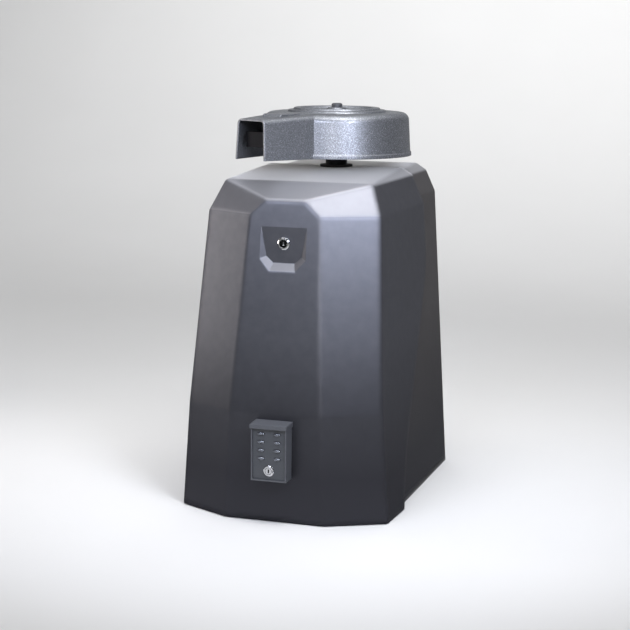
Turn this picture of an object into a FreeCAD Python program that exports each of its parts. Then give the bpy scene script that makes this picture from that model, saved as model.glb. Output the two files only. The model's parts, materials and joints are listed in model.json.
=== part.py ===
"""Swing gate operator: crank-arm drive under a two-piece moulded cover.

The origin is on the mounting surface, under the output shaft. +Z is up, the
nose of the cover faces -Y, and the crank rests in the pose of the photograph.
Every driving size is a cell of the sheet "sizes", in millimetres or degrees.
"""
import FreeCAD, Part
import Sketcher
import math
import os
import re

Vector = FreeCAD.Vector
doc = FreeCAD.newDocument("swing_gate_operator")

# Driving sizes
SIZES = {
    # Front cover, drawn as a skeleton through the centres of its rounded edges
    "edge_radius": 8,
    "cover_wall": 4,
    "base_half_width": 182,
    "base_corner_reach": 289,
    "base_nose_half_width": 88,
    "base_nose_reach": 338,
    "break_height": 189.5,
    "break_nose_half_width": 79.5,
    "break_nose_reach": 335.5,
    "shoulder_drop": 60,
    "shoulder_nose_half_width": 60.5,
    "shoulder_nose_reach": 289,
    "shoulder_half_width": 150,
    "shoulder_reach": 242.5,
    "peak_drop": 36,
    "peak_half_width": 34.5,
    "crown_half_width": 130.5,
    "crown_reach": 219,
    "crown_rear_half_width": 137.5,
    "crown_rear_height": 582.5,
    "crown_bevel": 11,
    "flare_half_width": 162.5,
    "flare_drop": 56.5,
    "front_ground_gap": 2,
    # Seam between the covers, seen from the side
    "seam_base_reach": 200,
    "seam_knee_reach": 173,
    "seam_knee_height": 95,
    "seam_knee_radius": 400,
    "seam_bend_reach": 4,
    "seam_bend_drop": 170.5,
    "seam_bend_radius": 130,
    "seam_lap": 24,
    "seal_clearance": 0.3,
    "seal_width": 16,
    "seal_setback": 5,
    # Rear cover skeleton
    "rear_side_inset": 6,
    "rear_shoulder_inset": 17.5,
    "rear_shoulder_drop": 49.5,
    "rear_crown_inset": 13.5,
    "rear_crown_drop": 3,
    "rear_front_drop": 8.5,
    "rear_reach_base": 157.5,
    "rear_reach_top": 148,
    "shaft_opening_radius": 30,
    "notch_margin": 6,
    # Lock recess in the nose panel
    "recess_half_width": 41,
    "recess_top_drop": 15.5,
    "recess_side_drop": 70.5,
    "recess_foot_drop": 90.5,
    "recess_foot_half_width": 23.5,
    "recess_floor_half_width": 31.7,
    "recess_floor_drop": 66,
    "recess_sill_drop": 77.3,
    # Base plate
    "base_thickness": 6,
    "plate_inset": 1.5,
    "plate_clearance": 3,
    "anchor_across": 290,
    "anchor_along": 360,
    "anchor_reach": 60,
    "anchor_hole_radius": 7,
    "conduit_width": 120,
    "conduit_depth": 60,
    "conduit_reach": 265,
    # Frame
    "frame_side_gap": 27,
    "frame_thickness": 5,
    "frame_rear_reach": 110,
    "frame_front_margin": 12,
    "frame_neck_height": 200,
    "frame_nose_reach": 190,
    "frame_margin": 5,
    "frame_top_reach": 60,
    "frame_cover_gap": 29,
    "bracket_low": 120,
    "bracket_drop": 65,
    "bracket_reach": 70,
    "shelf_height": 306,
    "drive_hole_radius": 34,
    # Output shaft and worm reducer
    "shaft_radius": 20,
    "shaft_foot_gap": 2,
    "shaft_stub": 3,
    "running_clearance": 0.05,
    "wheel_clearance": 16,
    "tooth_count": 40,
    "tooth_module": 3,
    "worm_pitch_radius": 18,
    "worm_length": 60,
    "worm_journal_radius": 10,
    "wheel_width": 24,
    "wheel_hub_radius": 32,
    "wheel_hub_length": 40,
    "tooth_backlash": 1.1,
    "housing_side_wall": 10,
    "housing_wall": 16.5,
    "housing_floor": 24,
    "housing_foot_width": 22,
    "housing_foot_height": 10,
    "housing_corner": 14,
    "chamber_clearance": 5,
    "lid_thickness": 24,
    "output_bearing_radius": 40,
    "output_bearing_width": 18,
    "bearing_race": 4,
    "worm_bore_clearance": 2.5,
    "worm_bearing_width": 14,
    "end_cap_rim": 8.5,
    "end_cap_thickness": 6,
    # Belt drive
    "pulley_gap": 8,
    "pulley_width": 22,
    "worm_pulley_radius": 66,
    "motor_pulley_radius": 33,
    "pulley_lip": 3,
    "pulley_web": 7,
    "pulley_hub_radius": 18,
    "belt_width": 11,
    "belt_height": 8,
    "belt_taper": 2,
    "belt_clearance": 0.4,
    # Motor
    "motor_height": 150,
    "motor_reach": 10,
    "motor_radius": 72,
    "motor_wall": 4,
    "motor_length": 150,
    "bell_length": 24,
    "bell_wall": 8,
    "bell_nose_radius": 30,
    "stator_length": 84,
    "stator_bore_radius": 40.5,
    "air_gap": 0.5,
    "rotor_length": 80,
    "motor_shaft_radius": 8.5,
    "motor_shaft_inset": 3,
    "motor_bearing_radius": 20,
    "motor_bearing_width": 12,
    "motor_base_half_length": 60,
    "motor_base_half_width": 58,
    "motor_base_rib": 8,
    "saddle_drop": 50,
    "capacitor_radius": 22,
    "capacitor_length": 95,
    # Control box
    "control_half_width": 125,
    "control_depth": 65,
    "control_bottom": 245,
    "control_height": 175,
    "control_wall": 2,
    "board_half_width": 95,
    "board_margin": 20,
    "component_margin": 15,
    "terminal_height": 14,
    "terminal_depth": 14,
    "transformer_width": 52,
    "transformer_depth": 42,
    "transformer_height": 46,
    "relay_width": 28,
    "relay_depth": 26,
    "relay_height": 32,
    "relay_pitch": 34,
    "board_thickness": 2,
    "board_standoff": 8,
    "switch_half_width": 9,
    "switch_height": 26,
    "switch_thickness": 8,
    "switch_barrel_radius": 6,
    "switch_drop": 55,
    "switch_offset": 45,
    "button_radius": 8,
    "button_stroke": 3,
    # Limit cams and sensors
    "cam_radius": 28,
    "cam_lobe_radius": 9,
    "cam_lobe_reach": 25,
    "cam_thickness": 8,
    "cam_top_gap": 6,
    "cam_spacing": 20,
    "cam_open_angle": -33,
    "cam_closed_angle": 147,
    "sensor_radius": 9,
    "sensor_length": 44,
    "sensor_gap": 3,
    "sensor_bracket_half_width": 14,
    "sensor_bracket_reach": 58,
    "sensor_bracket_thickness": 3,
    "sensor_bracket_margin": 4,
    "sensor_bracket_foot": 26,
    # Flange bearing on the frame's top
    "flange_radius": 52,
    "flange_thickness": 10,
    "flange_hub_radius": 32,
    "flange_hub_height": 26,
    "grommet_rise": 18,
    # Crank and arm cover
    "crank_angle": -115,
    "hub_radius": 38,
    "hub_rise": 14,
    "hub_slit": 4,
    "hub_ear_reach": 62,
    "hub_ear_half_width": 16,
    "crank_half_width": 28,
    "crank_rise": 8,
    "crank_height": 27,
    "crank_pin_setback": 37,
    "crank_pin_radius": 8,
    "crank_tip_setback": 12,
    "crank_tip_bevel": 7,
    "cap_gap": 20.5,
    "cap_wall": 3.5,
    "cap_rim_radius": 139,
    "cap_lip": 2,
    "cap_lip_height": 6,
    "cap_draft": 6,
    "cap_height": 78,
    "cap_rounding": 14,
    "cap_step_radius": 90,
    "cap_ring": 11,
    "cap_step": 4,
    "cap_dish": 5,
    "cap_boss_radius": 17,
    "cap_post_radius": 29,
    "cap_post_height": 8.5,
    "spout_reach": 227,
    "spout_half_width": 36.5,
    "spout_root_half_width": 58.5,
    "spout_draft": 4,
    "spout_rake": 2.5,
    "spout_drop": 6.5,
    "spout_root_drop": 1.5,
    "spout_rounding": 9,
    "ridge_half_width": 22,
    "ridge_end_setback": 57,
    "ridge_rise": 5,
    "ridge_root_rise": 1.5,
    "ridge_rounding": 2,
    "nut_radius": 10,
    "nut_height": 8,
    "stud_radius": 5,
    "stud_depth": 18,
    # Cover lock
    "lock_drop": 43.5,
    "lock_face_radius": 11.3,
    "lock_face": 3.5,
    "lock_barrel_radius": 9.5,
    "lock_barrel_length": 26,
    "lock_plug_radius": 4.8,
    "lock_well_radius": 7,
    "lock_well_depth": 2,
    "lock_clearance": 0.1,
    "key_slot_width": 2.4,
    "key_slot_length": 6.4,
    "key_slot_depth": 5,
    "lock_cam_length": 32,
    "lock_cam_half_width": 6,
    "lock_cam_thickness": 2.5,
    "striker_gap": 1.5,
    "striker_offset": 12,
    "striker_width": 22,
    "striker_thickness": 2.5,
    "striker_rise": 7,
    # Keypad box
    "keypad_half_width": 31.5,
    "keypad_bottom": 80,
    "keypad_height": 100,
    "keypad_depth": 29,
    "keypad_wall": 2.2,
    "keypad_panel_setback": 3,
    "keypad_panel": 3,
    "hood_half_width": 33,
    "hood_overhang": 3.5,
    "hood_height": 9,
    "hood_drop": 1.5,
    "hood_lip": 7,
    "key_half_width": 6.5,
    "key_half_height": 2.75,
    "key_offset": 14.4,
    "key_top_drop": 18,
    "key_pitch": 14.3,
    "key_rows": 4,
    "key_rim": 0.8,
    "key_dome": 2.4,
    "key_collar": 1,
    "keypad_lock_rise": 18,
    "keypad_lock_radius": 10,
    "keypad_lock_proud": 2.5,
    "keypad_lock_barrel_radius": 8,
    "keypad_plug_radius": 5.6,
    "keypad_well": 0.6,
    "keypad_lock_notch": 2.6,
    # Fasteners
    "bolt_radius": 5,
    "bolt_head_radius": 8,
    "bolt_head_height": 6,
    "fit_clearance": 0.3,
}

# Places and sizes that follow from the driving ones
PLACES = {
    "shoulder_height": "crown_rear_height - shoulder_drop",
    "peak_height": "crown_rear_height - peak_drop",
    "flare_height": "crown_rear_height - flare_drop",
    "seam_bend_height": "crown_rear_height - seam_bend_drop",
    "rear_half_width": "base_half_width - rear_side_inset",
    "rear_shoulder_half_width": "flare_half_width - rear_shoulder_inset",
    "rear_shoulder_height": "crown_rear_height - rear_shoulder_drop",
    "rear_crown_half_width": "crown_rear_half_width - rear_crown_inset",
    "rear_crown_height": "crown_rear_height - rear_crown_drop",
    "rear_crown_front_height": "crown_rear_height - rear_front_drop",
    "notch_radius": "shaft_opening_radius + notch_margin",
    "recess_top_height": "shoulder_height - recess_top_drop",
    "recess_side_height": "shoulder_height - recess_side_drop",
    "recess_foot_height": "shoulder_height - recess_foot_drop",
    "recess_floor_height": "shoulder_height - recess_floor_drop",
    "recess_sill_height": "shoulder_height - recess_sill_drop",
    "lock_height": "shoulder_height - lock_drop",
    "nose_lean": "(break_nose_reach - shoulder_nose_reach) / (shoulder_height - break_height)",
    "worm_centre": "worm_pitch_radius + tooth_module * tooth_count / 2",
    "worm_bearing_radius": "worm_pitch_radius + tooth_module + worm_bore_clearance",
    "end_cap_radius": "worm_bearing_radius + end_cap_rim",
    "wheel_chamber_radius": "tooth_module * (tooth_count / 2 + 1) + chamber_clearance",
    "housing_height": "housing_floor + 2 * wheel_clearance + wheel_hub_length",
    "housing_half_width": "wheel_chamber_radius + housing_side_wall",
    "housing_front_reach": "worm_centre + worm_bearing_radius + housing_wall",
    "housing_rear_reach": "wheel_chamber_radius + housing_wall",
    "housing_foot_half_width": "housing_half_width + housing_foot_width",
    "housing_top": "shelf_height + housing_height",
    "worm_height": "shelf_height + housing_floor + wheel_clearance + wheel_hub_length / 2",
    "control_top": "control_bottom + control_height",
    "board_bottom": "control_bottom + board_margin",
    "board_top": "control_top - board_margin",
    "switch_level": "control_top - switch_drop",
    "frame_half_gap": "rear_shoulder_half_width - frame_side_gap",
    "frame_face": "frame_half_gap + frame_thickness",
    "frame_front_reach": "housing_front_reach + frame_front_margin",
    "frame_nose_bottom": "control_bottom - frame_margin",
    "frame_nose_top": "control_top + frame_margin",
    "frame_height": "rear_crown_front_height - frame_cover_gap",
    "bracket_high": "frame_height - bracket_drop",
    "drive_plane": "frame_face + pulley_gap + pulley_width / 2",
    "rotor_radius": "stator_bore_radius - air_gap",
    "motor_shaft_foot": "motor_length / 2 + bell_length - motor_shaft_inset",
    "motor_saddle_height": "motor_height - saddle_drop",
    "cam_level": "frame_height - frame_thickness - cam_top_gap - sensor_radius",
    "grommet_foot": "frame_height + flange_hub_height + fit_clearance",
    "grommet_top": "rear_crown_front_height + grommet_rise",
    "cap_foot": "crown_rear_height + edge_radius + cap_gap",
    "cap_top_radius": "cap_rim_radius - cap_draft",
    "cap_plateau_radius": "cap_step_radius - cap_ring",
    "cap_dish_radius": "cap_plateau_radius - cap_ring",
    "spout_height": "cap_height - spout_drop",
    "spout_root_height": "cap_height - spout_root_drop",
    "hub_foot": "cap_foot + hub_rise",
    "hub_height": "cap_height - cap_wall - cap_post_height - hub_rise",
    "shaft_foot": "shelf_height + housing_floor - output_bearing_width + shaft_foot_gap",
    "shaft_top": "hub_foot + hub_height + shaft_stub",
    "crank_foot": "hub_foot + crank_rise",
    "crank_pin_reach": "spout_reach - crank_pin_setback",
    "crank_tip_reach": "spout_reach - crank_tip_setback",
    "striker_top": "lock_height + striker_rise",
    "keypad_top": "keypad_bottom + keypad_height",
    "key_top_level": "keypad_top - key_top_drop",
    "keypad_lock_level": "keypad_bottom + keypad_lock_rise",
    "keypad_lock_length": "keypad_depth - keypad_panel_setback - 3 * keypad_wall",
}

sheet = doc.addObject("Spreadsheet::Sheet", "sizes")
for row, (alias, value) in enumerate(SIZES.items(), 1):
    sheet.set(f"A{row}", alias)
    sheet.set(f"B{row}", str(value))
    sheet.setAlias(f"B{row}", alias)
places = doc.addObject("App::FeaturePython", "places")
for alias in PLACES:
    places.addProperty("App::PropertyFloat", alias, "Derived")

WORD = re.compile(r"[a-z_]+")
NODES = []


def owner(word):
    """A name with the object that holds its value, or the word itself."""
    if word in SIZES:
        return f"sizes.{word}"
    return f"places.{word}" if word in PLACES else word


def tie(thing, prop, formula):
    """Bind a property to a formula of named sizes."""
    thing.setExpression(prop, WORD.sub(lambda found: owner(found[0]), formula))


def size(alias):
    """The value of a driving or derived size."""
    return float(sheet.get(alias)) if alias in SIZES else getattr(places, alias)


for alias, formula in PLACES.items():
    tie(places, alias, formula)
doc.recompute()


def node(thing, label):
    """Name a finished sub-part after its file."""
    thing.Label = label
    NODES.append(thing)
    return thing


# Directions in which a turned or drilled piece may point
UPWARD = FreeCAD.Rotation()
ALONG_X = FreeCAD.Rotation(Vector(0, 1, 0), 90)
FORWARD = FreeCAD.Rotation(Vector(1, 0, 0), 90)


def place(thing, x="0", y="0", z="0", turn=UPWARD):
    thing.Placement = FreeCAD.Placement(Vector(), turn)
    for axis, formula in zip("xyz", (x, y, z)):
        tie(thing, f".Placement.Base.{axis}", formula)
    return thing


def block(name, x, y, z):
    """A box between two formulas along each axis."""
    box = doc.addObject("Part::Box", name)
    for prop, (low, high) in zip(("Length", "Width", "Height"), (x, y, z)):
        tie(box, prop, f"({high}) - ({low})")
    return place(box, x[0], y[0], z[0])


def rod(name, radius, length, x="0", y="0", z="0", turn=UPWARD):
    cylinder = doc.addObject("Part::Cylinder", name)
    tie(cylinder, "Radius", radius)
    tie(cylinder, "Height", length)
    return place(cylinder, x, y, z, turn)


def cut(name, base, *tools):
    result = base
    for number, tool in enumerate(tools):
        taken = doc.addObject("Part::Cut", f"{name}_cut{number}")
        taken.Base, taken.Tool = result, tool
        result = taken
    return result


def fuse(name, *pieces):
    joined = doc.addObject("Part::MultiFuse", name)
    joined.Shapes = list(pieces)
    joined.Refine = True
    return joined


def common(name, *pieces):
    shared = doc.addObject("Part::MultiCommon", name)
    shared.Shapes = list(pieces)
    return shared


def group(name, *pieces):
    """Separate solids that share one node."""
    together = doc.addObject("Part::Compound", name)
    together.Links = list(pieces)
    return together


def shaped(name, shape):
    """A piece whose form needs Part's own functions."""
    feature = doc.addObject("Part::Feature", name)
    feature.Shape = shape
    return feature


def origin_plane(body, role):
    return next(plane for plane in body.Origin.OriginFeatures if plane.Role == role)


def outline_sketch(body, role, points):
    """A closed outline whose corners are bound to formulas."""
    sketch = body.newObject("Sketcher::SketchObject", f"{body.Name}_outline")
    sketch.AttachmentSupport = (origin_plane(body, role), [""])
    sketch.MapMode = "FlatFace"
    count = len(points)
    turns = [2 * math.pi * corner / count for corner in range(count)]
    start = [Vector(math.cos(turn), math.sin(turn), 0) for turn in turns]
    for corner in range(count):
        sketch.addGeometry(Part.LineSegment(start[corner], start[(corner + 1) % count]), False)
    for corner in range(count):
        sketch.addConstraint(Sketcher.Constraint("Coincident", corner, 2, (corner + 1) % count, 1))
    for corner, formulas in enumerate(points):
        for kind, formula in zip(("DistanceX", "DistanceY"), formulas):
            held = sketch.addConstraint(Sketcher.Constraint(kind, -1, 1, corner, 1, 1.0))
            tie(sketch, f"Constraints[{held}]", formula)
    return sketch


def turned(name, profile, x="0", y="0", z="0", turn=UPWARD):
    """A lathe piece: corners as (radius, distance along the axis)."""
    body = doc.addObject("PartDesign::Body", name)
    spun = body.newObject("PartDesign::Revolution", f"{name}_spin")
    spun.Profile = outline_sketch(body, "XZ_Plane", profile)
    spun.ReferenceAxis = (spun.Profile[0], ["V_Axis"])
    spun.Angle = 360
    body.Tip = spun
    return place(body, x, y, z, turn)


def plate(name, role, corners, thickness, x="0", y="0", z="0"):
    """A flat piece: an outline on an origin plane, padded by its thickness."""
    body = doc.addObject("PartDesign::Body", name)
    pad = body.newObject("PartDesign::Pad", f"{name}_pad")
    pad.Profile = outline_sketch(body, role, corners)
    tie(pad, "Length", thickness)
    body.Tip = pad
    return place(body, x, y, z)


def both_sides(half_width):
    """The two formulas of a piece centred across the object."""
    return f"-({half_width})", half_width


# Faceted forms
FAR = 2000


def mirrored(point):
    return Vector(-point.x, point.y, point.z)


def inner_half(corners, inside):
    """A large block that fills one side of the plane through three corners."""
    first, second, third = corners
    normal = (second - first).cross(third - first).normalize()
    if normal.dot(inside - first) < 0:
        normal = -normal
    half = Part.makeBox(2 * FAR, 2 * FAR, FAR, Vector(-FAR, -FAR, 0))
    half.Placement = FreeCAD.Placement(first, FreeCAD.Rotation(Vector(0, 0, 1), normal))
    return half


def faceted(facets, inside):
    """The convex solid that all the facets' planes enclose."""
    halves = [inner_half(corners, inside) for corners in facets]
    solid = halves[0]
    for half in halves[1:]:
        solid = solid.common(half)
    return solid.Solids[0]


def on_both_sides(facets):
    return facets + [[mirrored(corner) for corner in facet] for facet in facets]


def downhill(corners):
    """The way down a facet in a plane across the object."""
    first, second, third = corners
    way = (second - first).cross(third - first).cross(Vector(0, 1, 0)).normalize()
    return way if way.z < 0 else -way


def front_skeleton():
    nose_base = Vector(size("base_nose_half_width"), -size("base_nose_reach"), 0)
    corner_base = Vector(size("base_half_width"), -size("base_corner_reach"), 0)
    nose_break = Vector(
        size("break_nose_half_width"), -size("break_nose_reach"), size("break_height"))
    nose_shoulder = Vector(
        size("shoulder_nose_half_width"), -size("shoulder_nose_reach"), size("shoulder_height"))
    side_shoulder = Vector(
        size("shoulder_half_width"), -size("shoulder_reach"), size("shoulder_height"))
    climb = size("peak_height") - size("shoulder_height")
    lean = (nose_shoulder.y - nose_break.y) / (nose_shoulder.z - nose_break.z)
    peak = Vector(size("peak_half_width"), nose_shoulder.y + lean * climb, size("peak_height"))
    brow = (side_shoulder - nose_shoulder).cross(peak - nose_shoulder)
    crown = Vector(size("crown_half_width"), -size("crown_reach"), 0)
    crown.z = nose_shoulder.z - (
        brow.x * (crown.x - nose_shoulder.x) + brow.y * (crown.y - nose_shoulder.y)) / brow.z
    crown_rear = Vector(size("crown_rear_half_width"), 0, size("crown_rear_height"))
    flare = Vector(size("flare_half_width"), 0, size("flare_height"))
    bevel = Vector(size("crown_bevel"), 0, 0)
    down = downhill([side_shoulder, crown, crown_rear]) * size("crown_bevel")
    middle = [
        [nose_base, mirrored(nose_base), nose_break],
        [nose_break, mirrored(nose_break), nose_shoulder],
        [peak, mirrored(peak), crown],
        [crown, mirrored(crown), crown_rear],
    ]
    sides = [
        [nose_base, nose_break, corner_base],
        [nose_break, nose_shoulder, side_shoulder],
        [nose_shoulder, side_shoulder, peak],
        [corner_base, side_shoulder, flare],
        [side_shoulder, crown, crown_rear],
        [crown, crown_rear - bevel, crown_rear + down],
    ]
    margin = 5 * size("edge_radius")
    floor = [Vector(0, 0, -margin), Vector(1, 0, -margin), Vector(0, 1, -margin)]
    back_reach = size("rear_reach_base") + margin
    back = [Vector(0, back_reach, 0), Vector(1, back_reach, 0), Vector(0, back_reach, 1)]
    inside = Vector(0, -size("frame_front_reach"), size("shelf_height"))
    return faceted(middle + on_both_sides(sides) + [floor, back], inside)


def rear_skeleton():
    foot = Vector(size("rear_half_width"), 0, 0)
    shoulder = Vector(size("rear_shoulder_half_width"), 0, size("rear_shoulder_height"))
    back_low = Vector(0, size("rear_reach_base"), 0)
    back_high = Vector(0, size("rear_reach_top"), size("rear_crown_height"))
    crown = Vector(size("rear_crown_half_width"), size("rear_reach_top"), size("rear_crown_height"))
    crown_front = Vector(0, 0, size("rear_crown_front_height"))
    along = Vector(0, 1, 0)
    across = Vector(1, 0, 0)
    middle = [[back_low, back_low + across, back_high], [crown, mirrored(crown), crown_front]]
    bevel = Vector(size("crown_bevel"), 0, 0)
    down = (shoulder - Vector(crown.x, 0, crown.z)).normalize() * size("crown_bevel")
    rise = along * (crown - crown_front).dot(along)
    edge = [crown - bevel, crown - bevel - rise, crown + down]
    sides = [[foot, foot + along, shoulder], [shoulder, shoulder + along, crown], edge]
    margin = 5 * size("edge_radius")
    floor = [Vector(0, 0, -margin), Vector(1, 0, -margin), Vector(0, 1, -margin)]
    front = [Vector(0, -FAR / 4, 0), Vector(1, -FAR / 4, 0), Vector(0, -FAR / 4, 1)]
    inside = Vector(0, 0, size("shelf_height"))
    return faceted(middle + on_both_sides(sides) + [floor, front], inside)


def grown(name, skeleton, formula):
    """A skeleton with its faces moved out and its edges rounded."""
    offset = doc.addObject("Part::Offset", name)
    offset.Source = skeleton
    tie(offset, "Value", formula)
    offset.Mode = "Skin"
    offset.Join = "Arc"
    return offset


def rounded_path(points):
    """Edges through (y, z, radius) corners, with arcs at the rounded ones."""
    corners = [Vector(0, y, z) for y, z, _ in points]
    edges, start = [], corners[0]
    for before, here, after, (_, _, radius) in zip(corners, corners[1:], corners[2:], points[1:]):
        if not radius:
            edges.append(Part.makeLine(start, here))
            start = here
            continue
        back = (before - here).normalize()
        ahead = (after - here).normalize()
        half = back.getAngle(ahead) / 2
        reach = radius / math.tan(half)
        bisector = (back + ahead).normalize()
        middle = here + bisector * (radius / math.sin(half) - radius)
        enter, leave = here + back * reach, here + ahead * reach
        edges.append(Part.makeLine(start, enter))
        edges.append(Part.Arc(enter, middle, leave).toShape())
        start = leave
    edges.append(Part.makeLine(start, corners[-1]))
    return edges


def seam_zone(shift, ahead):
    """The space in front of, or behind, the seam, moved forward by a shift."""
    top = 2 * size("crown_rear_height")
    path = rounded_path([
        (-size("seam_base_reach") - shift, 0, 0),
        (-size("seam_knee_reach") - shift, size("seam_knee_height"), size("seam_knee_radius")),
        (-size("seam_bend_reach") - shift, size("seam_bend_height"), size("seam_bend_radius")),
        (-size("seam_bend_reach") - shift, top, 0),
    ])
    far = -FAR / 2 if ahead else FAR / 2
    first, last = path[0].Vertexes[0].Point, path[-1].Vertexes[-1].Point
    around = Part.makePolygon([last, Vector(0, far, top), Vector(0, far, 0), first])
    face = Part.Face(Part.Wire(path + around.Edges))
    zone = face.extrude(Vector(FAR, 0, 0))
    zone.translate(Vector(-FAR / 2, 0, 0))
    return zone


# Covers
def recess_facets(grow):
    """Facets of the lock recess, moved outward by a wall."""
    lean = size("nose_lean")
    skin = size("edge_radius") * math.hypot(1, lean)

    def on_nose(half_width, height):
        rise = height - size("break_height")
        return Vector(half_width, -size("break_nose_reach") - skin + lean * rise, height)

    top = on_nose(size("recess_half_width"), size("recess_top_height"))
    side = on_nose(size("recess_half_width"), size("recess_side_height"))
    foot = on_nose(size("recess_foot_half_width"), size("recess_foot_height"))
    floor = Vector(size("recess_floor_half_width"), top.y, size("recess_floor_height"))
    inside = Vector(0, on_nose(0, floor.z).y - 1, floor.z)
    sill = Vector(0, top.y, size("recess_sill_height"))
    facets = [[top, mirrored(top), Vector(0, top.y, 0)], [foot, mirrored(foot), sill]]
    facets += on_both_sides([[top, side, floor], [side, foot, floor]])
    moved = []
    for corners in facets:
        normal = (corners[1] - corners[0]).cross(corners[2] - corners[0]).normalize()
        if normal.dot(inside - corners[0]) > 0:
            normal = -normal
        moved.append([corner + normal * grow for corner in corners])
    front = -size("base_nose_reach") - 5 * size("edge_radius")
    moved.append([Vector(0, front, 0), Vector(1, front, 0), Vector(0, front, 1)])
    high = size("peak_height")
    moved.append([Vector(0, 0, high), Vector(1, 0, high), Vector(0, 1, high)])
    return moved, inside


def make_covers():
    front_core = shaped("front_core", front_skeleton())
    front_outer = grown("front_outer", front_core, "edge_radius")
    front_inner = grown("front_inner", front_core, "edge_radius - cover_wall")
    recess = shaped("lock_recess", faceted(*recess_facets(0)))
    recess_wall = shaped("lock_recess_wall", faceted(*recess_facets(size("cover_wall"))))
    hollow = cut("front_hollow", front_inner, recess_wall)
    lock_hole = rod("lock_hole", "lock_barrel_radius + lock_clearance", "base_nose_reach",
                    z="lock_height", turn=FORWARD)
    notch = rod("shaft_notch", "notch_radius", "crown_rear_height", z="shelf_height")
    shell = cut("front_shell", front_outer, hollow, recess, lock_hole, notch)
    ground = block("front_ground", both_sides("base_nose_reach"),
                   ("-2 * base_nose_reach", "base_nose_reach"),
                   ("front_ground_gap", "2 * crown_rear_height"))
    ahead = shaped("ahead_of_seam", seam_zone(0, True))
    node(common("front_cover_solid", shell, ground, ahead), "front_cover")

    rear_core = shaped("rear_core", rear_skeleton())
    rear_outer = grown("rear_outer", rear_core, "edge_radius")
    rear_inner = grown("rear_inner", rear_core, "edge_radius - cover_wall")
    opening = rod("shaft_opening", "shaft_opening_radius", "crown_rear_height", z="shelf_height")
    rear_shell = cut("rear_shell", rear_outer, rear_inner, opening)
    behind = shaped("behind_lap", seam_zone(size("seam_lap"), False))
    seated = block("rear_ground", both_sides("base_nose_reach"),
                   ("-2 * base_nose_reach", "base_nose_reach"),
                   ("base_thickness", "2 * crown_rear_height"))
    node(common("rear_cover_solid", rear_shell, behind, seated), "rear_cover")

    band_front = seam_zone(size("seal_setback"), True)
    band_rear = seam_zone(size("seal_setback") + size("seal_width"), False)
    band = shaped("seal_band", band_front.common(band_rear))
    seal_form = grown("seal_form", front_core, "edge_radius - cover_wall - seal_clearance")
    strip = common("seal_strip", seal_form, band, seated)
    node(cut("seal_solid", strip, rear_outer, notch), "cover_seal")
    return front_outer, rear_inner


# Brackets that carry the rear cover on the frame
def make_brackets(rear_space):
    ties = []
    for side in SIGNS:
        ends = ("frame_face", "base_half_width") if side == "1" else ("-base_half_width", "-frame_face")
        for level in ("bracket_low", "bracket_high"):
            strip = block("bracket_strip", ends, ("bracket_reach", "frame_rear_reach"),
                          (level, f"{level} + frame_thickness"))
            ties.append(common("bracket", strip, rear_space))
    node(group("bracket_set", *ties), "cover_brackets")


# Base plate and frame
PLATE_EDGE = "rear_half_width + edge_radius - plate_inset"
SIGNS = ("1", "-1")


def make_base():
    corner = "plate_clearance - base_corner_reach"
    nose = "plate_clearance - base_nose_reach"
    nose_edge = "base_nose_half_width - plate_clearance"
    rear = "rear_reach_base + edge_radius - plate_inset"
    blank = plate("base_blank", "XY_Plane", [
        (PLATE_EDGE, rear), (f"-({PLATE_EDGE})", rear), (f"-({PLATE_EDGE})", corner),
        (f"-({nose_edge})", nose), (nose_edge, nose), (PLATE_EDGE, corner)], "base_thickness")
    holes = [
        rod("anchor_hole", "anchor_hole_radius", "base_thickness",
            f"{across} * anchor_across / 2", f"{along} * anchor_along / 2 - anchor_reach")
        for across in SIGNS for along in SIGNS]
    conduit = block("conduit_opening", both_sides("conduit_width / 2"),
                    ("-conduit_reach - conduit_depth / 2", "conduit_depth / 2 - conduit_reach"),
                    ("0", "base_thickness"))
    node(cut("base", blank, *holes, conduit), "base_plate")


SHELF_FOOT = "shelf_height - frame_thickness"


def make_frame():
    outline = [
        ("-frame_front_reach", "base_thickness"), ("frame_rear_reach", "base_thickness"),
        ("frame_rear_reach", "frame_height"), ("-frame_top_reach", "frame_height"),
        ("-frame_nose_reach", "frame_nose_top"), ("-frame_nose_reach", "frame_nose_bottom"),
        ("-frame_front_reach", "frame_neck_height")]
    for side, start in (("right", "frame_half_gap"), ("left", "-frame_face")):
        blank = plate(f"frame_blank_{side}", "YZ_Plane", outline, "frame_thickness", x=start)
        holes = [
            rod(f"{side}_{name}", radius, "frame_thickness", start, y, z, ALONG_X)
            for name, radius, y, z in (
                ("worm_hole", "drive_hole_radius", "-worm_centre", "worm_height"),
                ("motor_hole", "drive_hole_radius", "-motor_reach", "motor_height"))]
        node(cut(f"frame_{side}", blank, *holes), f"frame_side_{side}")
    shelf = block("shelf_blank", both_sides("frame_half_gap"),
                  ("-frame_front_reach", "frame_rear_reach"), (SHELF_FOOT, "shelf_height"))
    node(cut("shelf", shelf, *foot_bolts(shank_only=True)), "reducer_shelf")
    top = block("top_blank", both_sides("frame_half_gap"), ("-frame_top_reach", "frame_rear_reach"),
                ("frame_height - frame_thickness", "frame_height"))
    passage = rod("top_passage", "flange_hub_radius", "frame_height")
    node(cut("top_plate", top, passage, *flange_bolts(shank_only=True)), "frame_top_plate")


# Fasteners
FOOT_BOLT_X = "(housing_half_width + housing_foot_half_width) / 2"
FOOT_BOLT_Y = ("(housing_rear_reach - 2 * bolt_head_radius)",
               "-(housing_front_reach - 2 * bolt_head_radius)")
FLANGE_BOLT_X = "(flange_radius + flange_hub_radius) / 2"


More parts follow.
